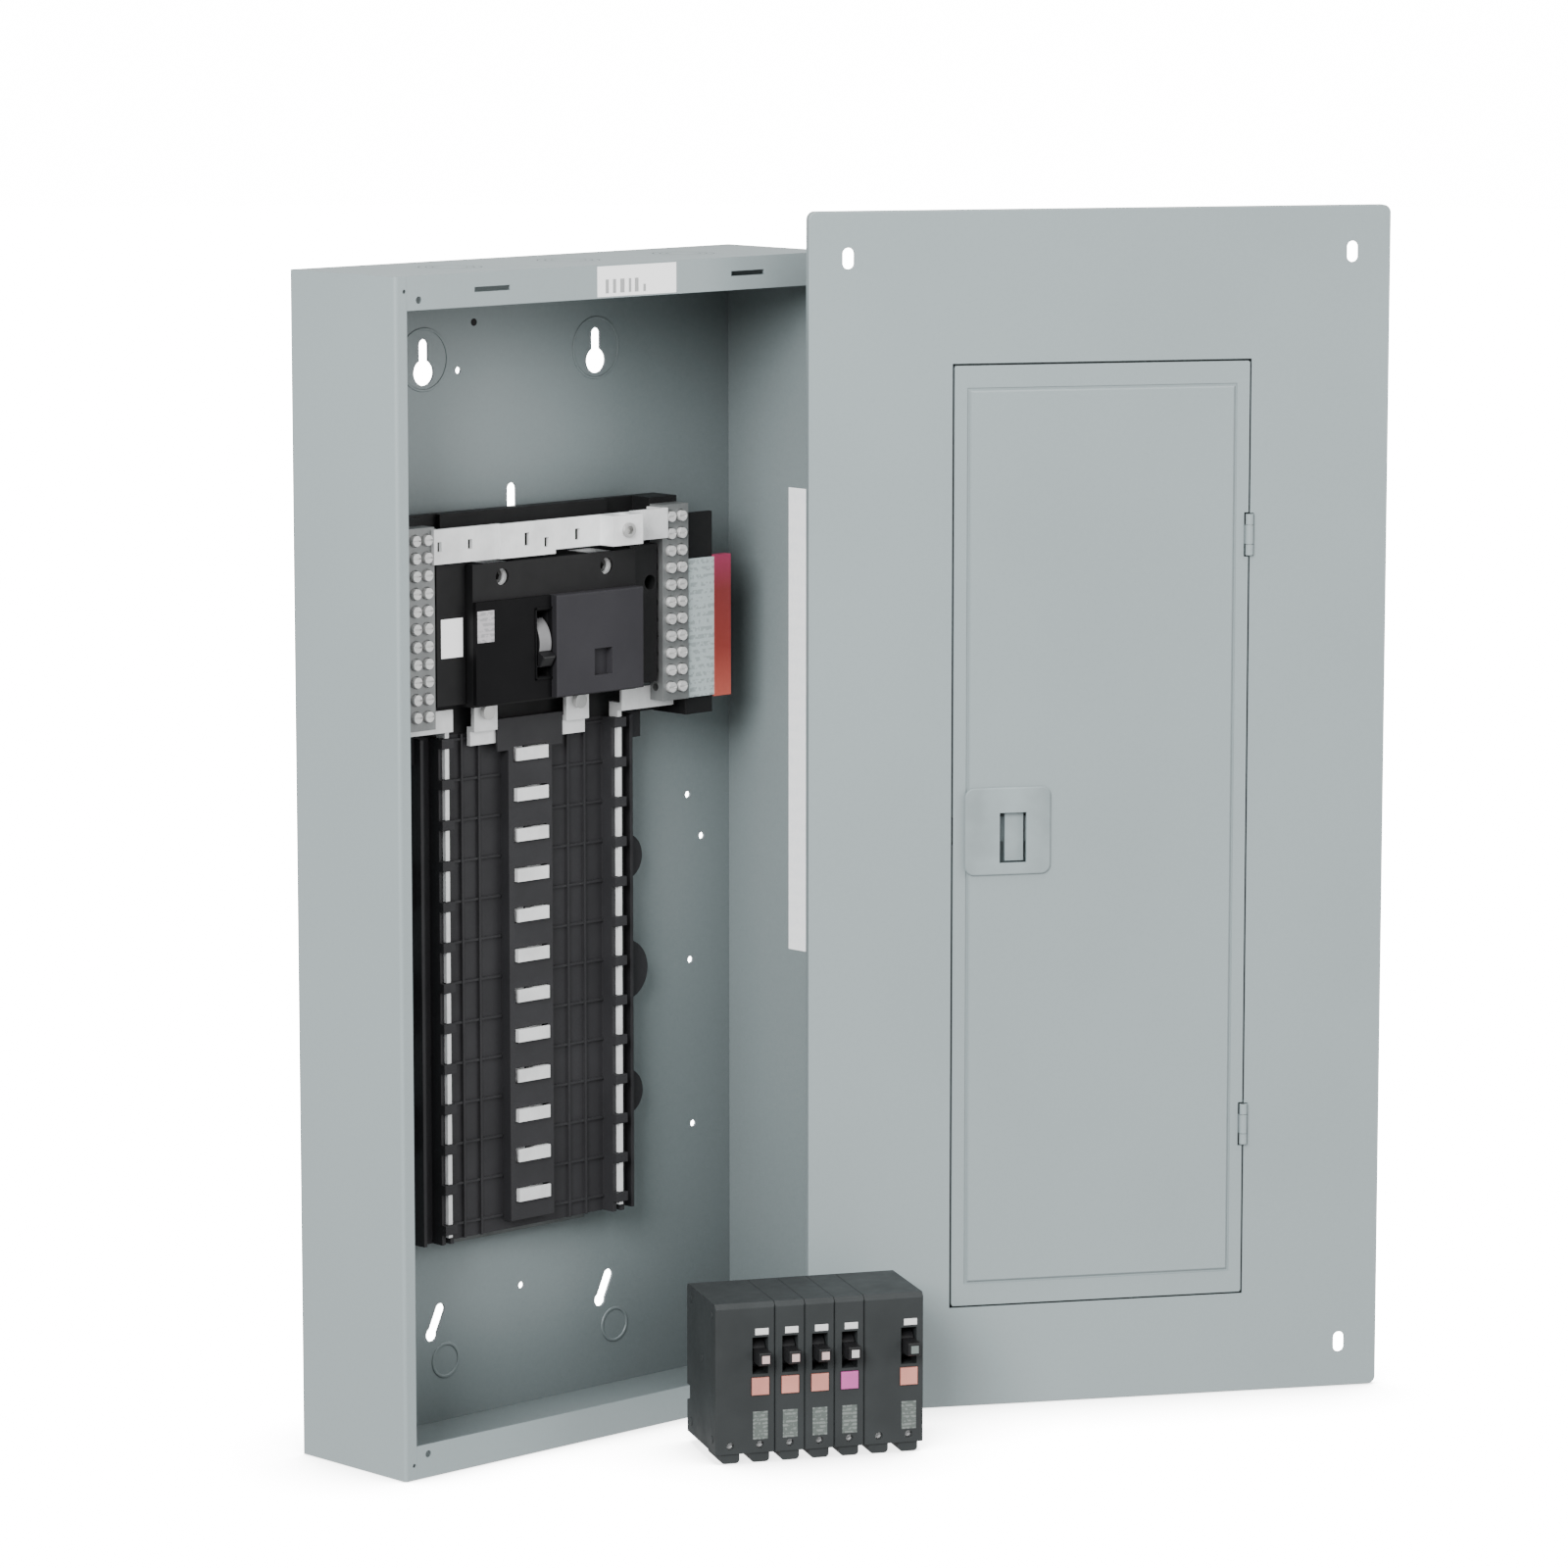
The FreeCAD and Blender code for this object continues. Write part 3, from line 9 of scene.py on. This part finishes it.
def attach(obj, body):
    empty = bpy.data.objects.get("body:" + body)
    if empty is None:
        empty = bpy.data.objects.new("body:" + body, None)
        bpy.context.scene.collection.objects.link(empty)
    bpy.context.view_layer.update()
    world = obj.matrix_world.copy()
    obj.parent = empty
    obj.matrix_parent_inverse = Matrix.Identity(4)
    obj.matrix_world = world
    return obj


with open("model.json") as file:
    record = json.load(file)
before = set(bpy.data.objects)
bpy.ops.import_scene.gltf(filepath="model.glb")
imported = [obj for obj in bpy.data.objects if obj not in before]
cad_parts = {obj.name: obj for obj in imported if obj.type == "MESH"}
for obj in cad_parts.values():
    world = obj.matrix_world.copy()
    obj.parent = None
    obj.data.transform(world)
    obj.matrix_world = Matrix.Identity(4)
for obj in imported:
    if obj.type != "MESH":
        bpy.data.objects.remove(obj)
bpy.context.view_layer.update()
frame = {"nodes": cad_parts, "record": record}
record = frame["record"]
nodes = frame["nodes"]
scene = bpy.context.scene
MM = 0.001

# Local frames, in metres: x to the right, y away from the viewer, z up. Each has y = 0 on a front face.
BOX_FRONT = -0.0984
BOX = Matrix.Translation((0, BOX_FRONT, 0))
INTERIOR = Matrix.Translation((-0.0155, BOX_FRONT, 0))
BREAKERS = Matrix.Translation((-0.017, -0.198, 0)) @ Matrix.Rotation(math.radians(-27.5), 4, "Z")


# Materials


class Nodes:
    """A material's node tree, with short calls to add and join nodes."""

    def __init__(self, name, colour):
        self.material = bpy.data.materials.new(name)
        self.material.use_nodes = True
        self.material.diffuse_color = (*colour, 1)
        self.tree = self.material.node_tree
        self.tree.nodes.clear()
        self.output = self.add("ShaderNodeOutputMaterial")
        self.shader = self.add("ShaderNodeBsdfPrincipled")
        self.link(self.shader.outputs["BSDF"], self.output.inputs["Surface"])
        self.shader.inputs["Base Color"].default_value = (*colour, 1)
        self.where = self.add("ShaderNodeTexCoord").outputs["Object"]

    def add(self, kind, **values):
        node = self.tree.nodes.new(kind)
        for key, value in values.items():
            setattr(node, key, value)
        return node

    def link(self, start, end):
        self.tree.links.new(start, end)

    def set(self, **values):
        for key, value in values.items():
            self.shader.inputs[key.replace("_", " ")].default_value = value

    def scaled(self, scale):
        """Object coordinates stretched by a vector, for grain that runs one way."""
        mapping = self.add("ShaderNodeMapping")
        mapping.inputs["Scale"].default_value = scale
        self.link(self.where, mapping.inputs["Vector"])
        return mapping.outputs["Vector"]

    def noise(self, scale, detail=3.0, rough=0.55, where=None, distort=0.0):
        node = self.add("ShaderNodeTexNoise")
        node.inputs["Scale"].default_value = scale
        node.inputs["Detail"].default_value = detail
        node.inputs["Roughness"].default_value = rough
        node.inputs["Distortion"].default_value = distort
        self.link(where or self.where, node.inputs["Vector"])
        return node.outputs["Fac"]

    def ramp(self, source, stops):
        node = self.add("ShaderNodeValToRGB")
        elements = node.color_ramp.elements
        while len(elements) < len(stops):
            elements.new(0.5)
        for element, (place, colour) in zip(elements, stops):
            element.position = place
            element.color = (*colour, 1) if len(colour) == 3 else colour
        self.link(source, node.inputs["Fac"])
        return node.outputs["Color"]

    def span(self, source, low, high, to_low, to_high):
        node = self.add("ShaderNodeMapRange")
        limits = {"From Min": low, "From Max": high, "To Min": to_low, "To Max": to_high}
        for key, value in limits.items():
            node.inputs[key].default_value = value
        self.link(source, node.inputs["Value"])
        return node.outputs["Result"]

    def mix(self, factor, first, second, blend="MIX"):
        node = self.add("ShaderNodeMix", data_type="RGBA", blend_type=blend)
        # On a colour mix the factor is input 0 and the two colours are inputs 6 and 7.
        for index, value in ((0, factor), (6, first), (7, second)):
            socket = node.inputs[index]
            if isinstance(value, (int, float)):
                socket.default_value = value
            elif isinstance(value, tuple):
                socket.default_value = (*value, 1)
            else:
                self.link(value, socket)
        return node.outputs[2]

    def bump(self, heights, round_edge=0.0):
        """Bump from (height, strength, distance) layers, on edges rounded by a small radius."""
        normal = None
        if round_edge:
            bevel = self.add("ShaderNodeBevel", samples=4)
            bevel.inputs["Radius"].default_value = round_edge
            normal = bevel.outputs["Normal"]
        for height, strength, distance in heights:
            node = self.add("ShaderNodeBump")
            node.inputs["Strength"].default_value = strength
            node.inputs["Distance"].default_value = distance
            self.link(height, node.inputs["Height"])
            if normal is not None:
                self.link(normal, node.inputs["Normal"])
            normal = node.outputs["Normal"]
        self.link(normal, self.shader.inputs["Normal"])

    def colour(self, socket):
        self.link(socket, self.shader.inputs["Base Color"])

    def rough(self, socket):
        self.link(socket, self.shader.inputs["Roughness"])


def shade(colour, factor):
    return tuple(min(1.0, part * factor) for part in colour)


def painted(name, colour, round_edge=0.0005, paint_in_shade=False):
    """Baked enamel on sheet steel: faint drifts of tone, fine orange peel and a little rubbing; where
    asked, painted shade inside the box.
    """
    n = Nodes(name, colour)
    drift = n.noise(5.0, 2.0)
    body = n.ramp(drift, [(0.35, shade(colour, 0.975)), (0.65, shade(colour, 1.02))])
    fleck = n.ramp(n.noise(420.0, 3.0), [(0.30, (0.93, 0.94, 0.94)), (0.55, (1, 1, 1))])
    body = n.mix(0.35, body, fleck, "MULTIPLY")
    rub = n.span(n.noise(38.0, 5.0, 0.65), 0.56, 0.78, 0.0, 0.10)
    body = n.mix(rub, body, shade(colour, 1.10))
    if paint_in_shade:
        # Painted shade: darkens the paint inside the box by how far nearby surfaces shelter each point.
        occlusion = n.add("ShaderNodeAmbientOcclusion", samples=16)
        occlusion.inputs["Distance"].default_value = 0.30
        painted_shade_tone = n.ramp(occlusion.outputs["AO"], [(0.0, (0.18, 0.18, 0.18)), (0.63, (1, 1, 1))])
        body = n.mix(1.0, body, painted_shade_tone, "MULTIPLY")
    n.colour(body)
    n.rough(n.span(n.noise(16.0, 4.0), 0.3, 0.7, 0.36, 0.50))
    n.set(Specular_IOR_Level=0.45, Coat_Weight=0.08, Coat_Roughness=0.3)
    n.bump([(n.noise(900.0, 2.0), 0.10, 0.00012), (n.noise(7.0, 1.0), 0.05, 0.002)], round_edge)
    return n.material


def moulded(name, colour, roughness=0.5, grain=1500.0, depth=0.16, round_edge=0.00035):
    """Moulded plastic with a fine spark-eroded grain, a slight drift of tone and a little dust."""
    n = Nodes(name, colour)
    drift = n.ramp(n.noise(26.0, 3.0), [(0.3, shade(colour, 0.86)), (0.7, shade(colour, 1.16))])
    dust = n.span(n.noise(190.0, 5.0, 0.7), 0.60, 0.80, 0.0, 0.10)
    n.colour(n.mix(dust, drift, shade(colour, 1.8)))
    n.rough(n.span(n.noise(60.0, 4.0), 0.3, 0.7, roughness - 0.06, roughness + 0.08))
    n.set(Specular_IOR_Level=0.3)
    n.bump([(n.noise(grain, 2.0), depth, 0.00008)], round_edge)
    return n.material


def two_tone(name, left, right, split):
    """Moulded plastic in one colour left of a line on x, in metres, and another right of it."""
    n = Nodes(name, right)
    drift = n.ramp(n.noise(26.0, 3.0), [(0.3, (0.88, 0.88, 0.88)), (0.7, (1.0, 1.0, 1.0))])
    axes = n.add("ShaderNodeSeparateXYZ")
    n.link(n.where, axes.inputs[0])
    blur = 0.0004
    side = n.span(axes.outputs[0], split - blur, split + blur, 0.0, 1.0)
    n.colour(n.mix(1.0, n.mix(side, left, right), drift, "MULTIPLY"))
    n.rough(n.span(n.noise(60.0, 4.0), 0.3, 0.7, 0.5, 0.62))
    n.set(Specular_IOR_Level=0.12)
    n.bump([(n.noise(1300.0, 2.0), 0.22, 0.00008)], 0.00035)
    return n.material


def graded(name, stops, low, high):
    """Label stock whose tone changes up its height, between two heights in metres."""
    n = Nodes(name, stops[0][1])
    axes = n.add("ShaderNodeSeparateXYZ")
    n.link(n.where, axes.inputs[0])
    height = n.span(axes.outputs[2], low, high, 0.0, 1.0)
    paper = n.ramp(n.noise(500.0, 3.0), [(0.35, (0.95, 0.95, 0.95)), (0.65, (1, 1, 1))])
    n.colour(n.mix(1.0, n.ramp(height, stops), paper, "MULTIPLY"))
    n.set(Roughness=0.5)
    n.bump([(n.noise(1200.0, 2.0), 0.08, 0.00004)])
    return n.material


def plated(name, colour, roughness=0.34, stretch=(1, 1, 0.08), metal=1.0, round_edge=0.0003):
    """Plated metal with a drawn grain and dull patches."""
    n = Nodes(name, colour)
    grain = n.noise(900.0, 4.0, 0.7, n.scaled(stretch))
    patch = n.noise(55.0, 4.0, 0.6)
    tone = n.ramp(patch, [(0.32, shade(colour, 0.84)), (0.62, colour)])
    n.colour(n.mix(0.25, tone, n.ramp(grain, [(0.3, (0.78, 0.79, 0.80)), (0.7, (1, 1, 1))]), "MULTIPLY"))
    n.rough(n.span(n.noise(80.0, 4.0, 0.65), 0.3, 0.7, roughness - 0.08, roughness + 0.12))
    n.set(Metallic=metal)
    n.bump([(grain, 0.10, 0.00006)], round_edge)
    return n.material


def label(name, colour, ink=None, rows=0.0, glow=0.0):
    """Label stock with a slight tooth, and broken rows of ink where it has any, so many to a metre; a
    glow, where given, is painted light.
    """
    n = Nodes(name, colour)
    paper = n.ramp(n.noise(500.0, 3.0), [(0.35, shade(colour, 0.96)), (0.65, colour)])
    if ink:
        split = n.add("ShaderNodeSeparateXYZ")
        n.link(n.where, split.inputs[0])
        wave = n.add("ShaderNodeMath", operation="FRACT")
        scale = n.add("ShaderNodeMath", operation="MULTIPLY")
        n.link(split.outputs[2], scale.inputs[0])
        scale.inputs[1].default_value = rows
        n.link(scale.outputs[0], wave.inputs[0])
        words = n.span(n.noise(420.0, 1.0, 0.5), 0.46, 0.54, 0.0, 0.75)
        line = n.span(wave.outputs[0], 0.55, 0.62, 1.0, 0.0)
        both = n.add("ShaderNodeMath", operation="MULTIPLY")
        n.link(words, both.inputs[0])
        n.link(line, both.inputs[1])
        paper = n.mix(both.outputs[0], paper, ink)
    n.colour(paper)
    # Painted light: the glow makes the label shine of its own, brighter than the lamps light it.
    n.set(Roughness=0.55, Emission_Color=(1, 1, 1, 1), Emission_Strength=glow)
    n.bump([(n.noise(1200.0, 2.0), 0.08, 0.00004)])
    return n.material


PAINT = (0.300, 0.355, 0.364)
PANEL_EDGE = -0.021
BAND_LOW, BAND_HIGH = 0.448, 0.538
BAND_TONES = (
    (0.0, (0.52, 0.10, 0.07)),
    (0.35, (0.28, 0.032, 0.023)),
    (0.75, (0.23, 0.024, 0.024)),
    (1.0, (0.34, 0.03, 0.09)),
)

# Finishes, by name. The CAD's own material slots come by the same names.
M = {
    "grey_steel": painted("grey_steel", PAINT),
    # The box's own steel carries painted shade in its corners and inside.
    "box_steel_painted_shade": painted("box_steel_painted_shade", PAINT, paint_in_shade=True),
    "bare_steel": plated("bare_steel", (0.16, 0.17, 0.17), 0.45, (1, 1, 0.1)),
    "black_plastic": moulded("black_plastic", (0.006, 0.006, 0.0065), 0.55),
    "base_plastic": moulded("base_plastic", (0.027, 0.027, 0.0295), 0.55),
    "black_handle": moulded("black_handle", (0.012, 0.012, 0.013), 0.34, 1800.0, 0.08),
    "grey_panel": two_tone("grey_panel", (0.004, 0.004, 0.0045), (0.037, 0.0362, 0.041), PANEL_EDGE),
    "tinned": plated("tinned", (0.97, 0.98, 0.98), 0.42, (1, 1, 0.15), 0.20),
    "bar_metal": plated("bar_metal", (0.27, 0.28, 0.28), 0.42, (1, 1, 0.15), 0.55),
    "bright_screw": plated("bright_screw", (0.88, 0.88, 0.87), 0.36, (1, 1, 1), 0.35),
    # Painted shade: these screws are kept dark to stand for the shade of the pockets they sit in.
    "dark_screw": plated("dark_screw", (0.13, 0.13, 0.13), 0.40, (1, 1, 1), 0.6),
    "screw": plated("screw", (0.70, 0.70, 0.69), 0.30, (1, 1, 1), 1.0),
    "bond_green": painted("bond_green", (0.03, 0.19, 0.07), 0.0002),
    "label_white": label("label_white", (0.52, 0.60, 0.605), (0.30, 0.35, 0.355), 210.0),
    "label_red": graded("label_red", BAND_TONES, BAND_LOW, BAND_HIGH),
    "case_black": moulded("case_black", (0.029, 0.033, 0.034), 0.56, 1100.0, 0.22),
    "button_coral": moulded("button_coral", (0.62, 0.26, 0.21), 0.40, 1500.0, 0.08),
    "button_magenta": moulded("button_magenta", (0.56, 0.12, 0.36), 0.40, 1500.0, 0.08),
    "latch_grey": moulded("latch_grey", shade(PAINT, 0.92), 0.48, 1400.0, 0.12),
    "spring_steel": plated("spring_steel", (0.50, 0.50, 0.49), 0.28, (1, 1, 1)),
    # The white stickers and the long label glow: painted light.
    "sticker": label("sticker", (0.96, 0.96, 0.96), glow=0.5),
    "sticker_bar": label("sticker_bar", (0.42, 0.43, 0.43)),
    "sticker_dim": label("sticker_dim", (0.52, 0.50, 0.52), (0.30, 0.30, 0.31), 300.0),
    "long_label": label("long_label", (0.95, 0.96, 0.97), (0.82, 0.85, 0.88), 95.0, glow=0.35),
    "rating_label": label("rating_label", (0.105, 0.125, 0.115), (0.22, 0.24, 0.23), 420.0),
    "white_mark": label("white_mark", (0.80, 0.80, 0.79)),
    "handle_band": moulded("handle_band", (0.22, 0.22, 0.225), 0.45, 1500.0, 0.08),
    # Painted highlights on the breaker handles' nubs, in pink, pale and grey.
    "handle_dot": label("handle_dot", (0.62, 0.45, 0.43)),
    "handle_dot_pale": label("handle_dot_pale", (0.60, 0.58, 0.58)),
    "handle_dot_grey": label("handle_dot_grey", (0.16, 0.19, 0.18)),
}

# Nodes whose finish differs from the one their slot gives
FINISH = {
    "box_wrapper": "box_steel_painted_shade",
    "box_bottom_end": "box_steel_painted_shade",
    "box_top_end": "box_steel_painted_shade",
    "bus_base": "base_plastic",
    "stab_ridge": "base_plastic",
    "neutral_bar_left": "bar_metal",
    "neutral_bar_right": "bar_metal",
    "neutral_screws": "bright_screw",
    "line_lug_screws": "dark_screw",
}

for entry in record["subparts"]:
    part = nodes[entry["node"]]
    finish = M[FINISH.get(entry["node"], entry["material_slot"])]
    if not part.material_slots:
        part.data.materials.append(finish)
    for place in part.material_slots:
        place.material = finish


# Pieces


def piece(name, bm, body, material, place):
    """Turns a bmesh in a frame's millimetres into a piece that rides on a body."""
    mesh = bpy.data.meshes.new(name)
    bm.transform(place @ Matrix.Scale(MM, 4))
    bmesh.ops.recalc_face_normals(bm, faces=bm.faces)
    bm.to_mesh(mesh)
    bm.free()
    thing = bpy.data.objects.new(name, mesh)
    scene.collection.objects.link(thing)
    mesh.materials.append(M[material])
    mesh.shade_smooth()
    mesh.set_sharp_from_angle(angle=math.radians(30))
    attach(thing, body)


def bevel_edges(bm, edges, width):
    bmesh.ops.bevel(bm, geom=list(edges), offset=width, segments=2, affect="EDGES", profile=0.5)


def add_block(bm, x, y, z, bevel=0.0):
    """A box from three (low, high) pairs, with bevelled edges."""
    centre = Vector(((x[0] + x[1]) / 2, (y[0] + y[1]) / 2, (z[0] + z[1]) / 2))
    size = (x[1] - x[0], y[1] - y[0], z[1] - z[0])
    matrix = Matrix.Translation(centre) @ Matrix.Diagonal((*size, 1))
    made = bmesh.ops.create_cube(bm, size=1.0, matrix=matrix)
    if bevel:
        bevel_edges(bm, {edge for vertex in made["verts"] for edge in vertex.link_edges}, bevel)


def add_disc(bm, centre, radius, depth, turned_about="X", bevel=0.0):
    """A short cylinder centred on a point, with its axis turned away from z about x or y."""
    made = bmesh.ops.create_cone(
        bm,
        cap_ends=True,
        segments=32,
        radius1=radius,
        radius2=radius,
        depth=depth,
        matrix=Matrix.Translation(centre) @ Matrix.Rotation(math.radians(90), 4, turned_about),
    )
    if bevel:
        rims = {
            edge
            for vertex in made["verts"]
            for edge in vertex.link_edges
            if len(edge.link_faces) == 2 and any(len(face.verts) > 4 for face in edge.link_faces)
        }
        bevel_edges(bm, rims, bevel)


def sticker(name, x, y, z, body, material, place):
    """A thin flat label, from three (low, high) pairs."""
    bm = bmesh.new()
    add_block(bm, x, y, z)
    piece(name, bm, body, material, place)


# Labels on the enclosure
PAPER = (-0.15, 0)
sticker("flange_label", (-20.5, 44.5), PAPER, (710.5, 729), "enclosure", "sticker", BOX)
bm = bmesh.new()
for bar in ((-14, -11.5), (-8, -5.5), (-2, 1.5), (5, 7), (10, 13)):
    add_block(bm, bar, (-0.3, -0.15), (712.5, 721))
add_block(bm, (17, 19), (-0.3, -0.15), (712.5, 717))
piece("flange_bars", bm, "enclosure", "sticker_bar", BOX)
sticker("wall_label", (179.35, 179.5), (23, 41), (280, 578), "enclosure", "long_label", BOX)


def bead(name, x, z, radius, tube):
    """A raised ring pressed into the back wall of the enclosure."""
    turns, sides, depth, flatness = 40, 8, 96.9, 0.6
    bm = bmesh.new()
    loops = []
    for i in range(turns):
        around = 2 * math.pi * i / turns
        loop = []
        for j in range(sides):
            across = 2 * math.pi * j / sides
            r = radius + tube * math.cos(across)
            y = depth + flatness * tube * math.sin(across)
            loop.append(bm.verts.new((x + r * math.cos(around), y, z + r * math.sin(around))))
        loops.append(loop)
    for i in range(turns):
        first, second = loops[i], loops[(i + 1) % turns]
        for j in range(sides):
            k = (j + 1) % sides
            bm.faces.new((first[j], first[k], second[k], second[j]))
    piece(name, bm, "enclosure", "box_steel_painted_shade", BOX)


for side, name in ((-1, "left"), (1, "right")):
    bead(f"dimple_{name}", side * 71.5 + 6, 40, 10.5, 1.1)
    bead(f"keyhole_bead_{name}", side * 71 - 6, 670, 19, 0.9)

# Painted shade: a black disc beside the upper keyholes stands for the hollow of a blind dimple.
bm = bmesh.new()
add_disc(bm, (-36, 96.8, 691), 2.3, 0.2)
piece("blind_dimple_shade", bm, "enclosure", "black_plastic", BOX)

# Stickers on the main breaker
sticker("main_sticker", (-87.5, -70.2), (51.85, 52), (491.5, 515.5), "enclosure", "sticker", INTERIOR)
sticker("rating_sticker", (-66, -52.5), (42.85, 43), (500, 519.5), "enclosure", "sticker_dim", INTERIOR)


def drum_band(name, start, end):
    """A thin moulded band round the main handle's drum, between two angles up from level."""
    axis, radius, width, lift = (-12, 59, 495.5), 17.5, 9.4, 0.25
    bm = bmesh.new()
    turns = 14
    rows = []
    for i in range(turns + 1):
        angle = math.radians(start + (end - start) * i / turns)
        row = []
        for r in (radius, radius + lift):
            for x in (-width / 2, width / 2):
                place = (axis[0] + x, axis[1] - r * math.cos(angle), axis[2] + r * math.sin(angle))
                row.append(bm.verts.new(place))
        rows.append(row)
    for first, second in zip(rows, rows[1:]):
        for i, k in ((0, 1), (1, 3), (3, 2), (2, 0)):
            bm.faces.new((first[i], first[k], second[k], second[i]))
    for row in (rows[0], rows[-1]):
        bm.faces.new((row[0], row[1], row[3], row[2]))
    piece(name, bm, "main_switch", "handle_band", INTERIOR)


drum_band("handle_band_upper", -15, 58)
drum_band("handle_band_lower", -62, -45)

# Raised rim round the main handle's slot
bm = bmesh.new()
rim = (42.2, 43.05)
for x in ((-19.2, -18.1), (-5.9, -5.3)):
    add_block(bm, x, rim, (473, 518), 0.2)
for z in ((473, 474.4), (516.6, 518)):
    add_block(bm, (-19.2, -5.3), rim, z, 0.2)
piece("handle_rim", bm, "enclosure", "grey_panel", INTERIOR)

# Breaker labels, marks and handle dots, as (name, first pole, poles, dot)
SETS = (
    ("double_left", 0, 2, "handle_dot"),
    ("single_left", 2, 1, "handle_dot"),
    ("single_middle", 3, 1, "handle_dot"),
    ("single_right", 4, 1, "handle_dot_pale"),
    ("double_right", 5, 2, "handle_dot_grey"),
)
POLE, POLE_GAP = 19.05, 0.35
for name, first, poles, dot in SETS:
    # The handle is on the last pole.
    x = first * POLE + POLE_GAP / 2 + (poles - 1) * POLE + (POLE - POLE_GAP) / 2
    sticker(f"{name}_rating", (x - 4.7, x + 4.7), PAPER, (14.5, 32), name, "rating_label", BREAKERS)
    sticker(f"{name}_mark", (x - 3.2, x + 5.2), PAPER, (80, 84), name, "white_mark", BREAKERS)
    # Each dot is a painted highlight on its handle's nub.
    dot_depth, dot_height = (-12.15, -11.9), (64.6, 69.4)
    sticker(f"{name}_dot", (x - 2.2, x + 2.6), dot_depth, dot_height, f"{name}_toggle", dot, BREAKERS)

# Rivets on the two outer sides of the set
for name, x in (("double_left", 0.05), ("double_right", 133.3)):
    bm = bmesh.new()
    for y, z in ((9, 92), (57, 92), (32, 60), (9, 14), (57, 14)):
        add_disc(bm, (x, y, z), 2.6, 0.5, "Y", 0.15)
    piece(f"{name}_rivets", bm, name, "case_black", BREAKERS)

# Stage, light and camera
WHITE = 16.0
SKY = 0.80
bm = bmesh.new()
bmesh.ops.create_circle(bm, cap_ends=True, segments=64, radius=14)
floor_mesh = bpy.data.meshes.new("floor")
bm.to_mesh(floor_mesh)
bm.free()
floor = bpy.data.objects.new("floor", floor_mesh)
floor.location = (0, 0, -0.0005)
scene.collection.objects.link(floor)
floor_nodes = Nodes("floor", (0.92, 0.92, 0.92))
floor_nodes.set(Roughness=0.7, Specular_IOR_Level=0.2, Emission_Color=(1, 1, 1, 1))
tone = floor_nodes.noise(1.5, 2.0)
floor_nodes.colour(floor_nodes.ramp(tone, [(0.3, (0.91, 0.91, 0.91)), (0.7, (0.93, 0.93, 0.93))]))
# Painted contact shadow: the floor's glow dims where the object shelters it.
contact = floor_nodes.add("ShaderNodeAmbientOcclusion", samples=16)
contact.inputs["Distance"].default_value = 0.10
glow = floor_nodes.span(contact.outputs["AO"], 0.45, 0.97, 3.0, WHITE)
floor_nodes.link(glow, floor_nodes.shader.inputs["Emission Strength"])
floor_mesh.materials.append(floor_nodes.material)
# The floor glows white, with soft contact shadows painted into the glow. It neither lights, shades nor
# mirrors in the object.
# The sky is as white to the camera, and dimmer as a light on the object.
floor.visible_diffuse = False
floor.visible_glossy = False
floor.visible_shadow = False

world = bpy.data.worlds.new("studio")
world.use_nodes = True
links, sky = world.node_tree.links, world.node_tree.nodes["Background"]
sky.inputs["Color"].default_value = (1, 1, 1, 1)
path = world.node_tree.nodes.new("ShaderNodeLightPath")
level = world.node_tree.nodes.new("ShaderNodeMapRange")
level.inputs["To Min"].default_value = SKY
level.inputs["To Max"].default_value = WHITE
links.new(path.outputs["Is Camera Ray"], level.inputs["Value"])
links.new(level.outputs["Result"], sky.inputs["Strength"])
scene.world = world


def softbox(name, place, aim, size, power):
    """A square area light at a place, turned to face a point."""
    lamp = bpy.data.lights.new(name, "AREA")
    lamp.shape = "RECTANGLE"
    lamp.size, lamp.size_y = size, size
    lamp.energy = power
    thing = bpy.data.objects.new(name, lamp)
    thing.location = place
    thing.rotation_euler = (Vector(aim) - Vector(place)).to_track_quat("-Z", "Y").to_euler()
    scene.collection.objects.link(thing)


softbox("key", (-3.0, -1.7, 1.9), (0, -0.1, 0.35), 1.6, 184)
softbox("fill", (1.6, -2.9, 1.4), (0.1, -0.1, 0.35), 1.8, 32)
softbox("top", (0, -0.6, 3.0), (0, -0.1, 0.3), 2.0, 36)

camera_data = bpy.data.cameras.new("camera")
camera_data.sensor_width = 36
camera_data.lens = 144.9
camera_data.clip_end = 100
camera = bpy.data.objects.new("camera", camera_data)
camera.location = (-2.5867, -2.9503, 0.9757)
camera.rotation_euler = Vector((0.6832, 0.7156, -0.1455)).to_track_quat("-Z", "Y").to_euler()
scene.collection.objects.link(camera)
scene.camera = camera
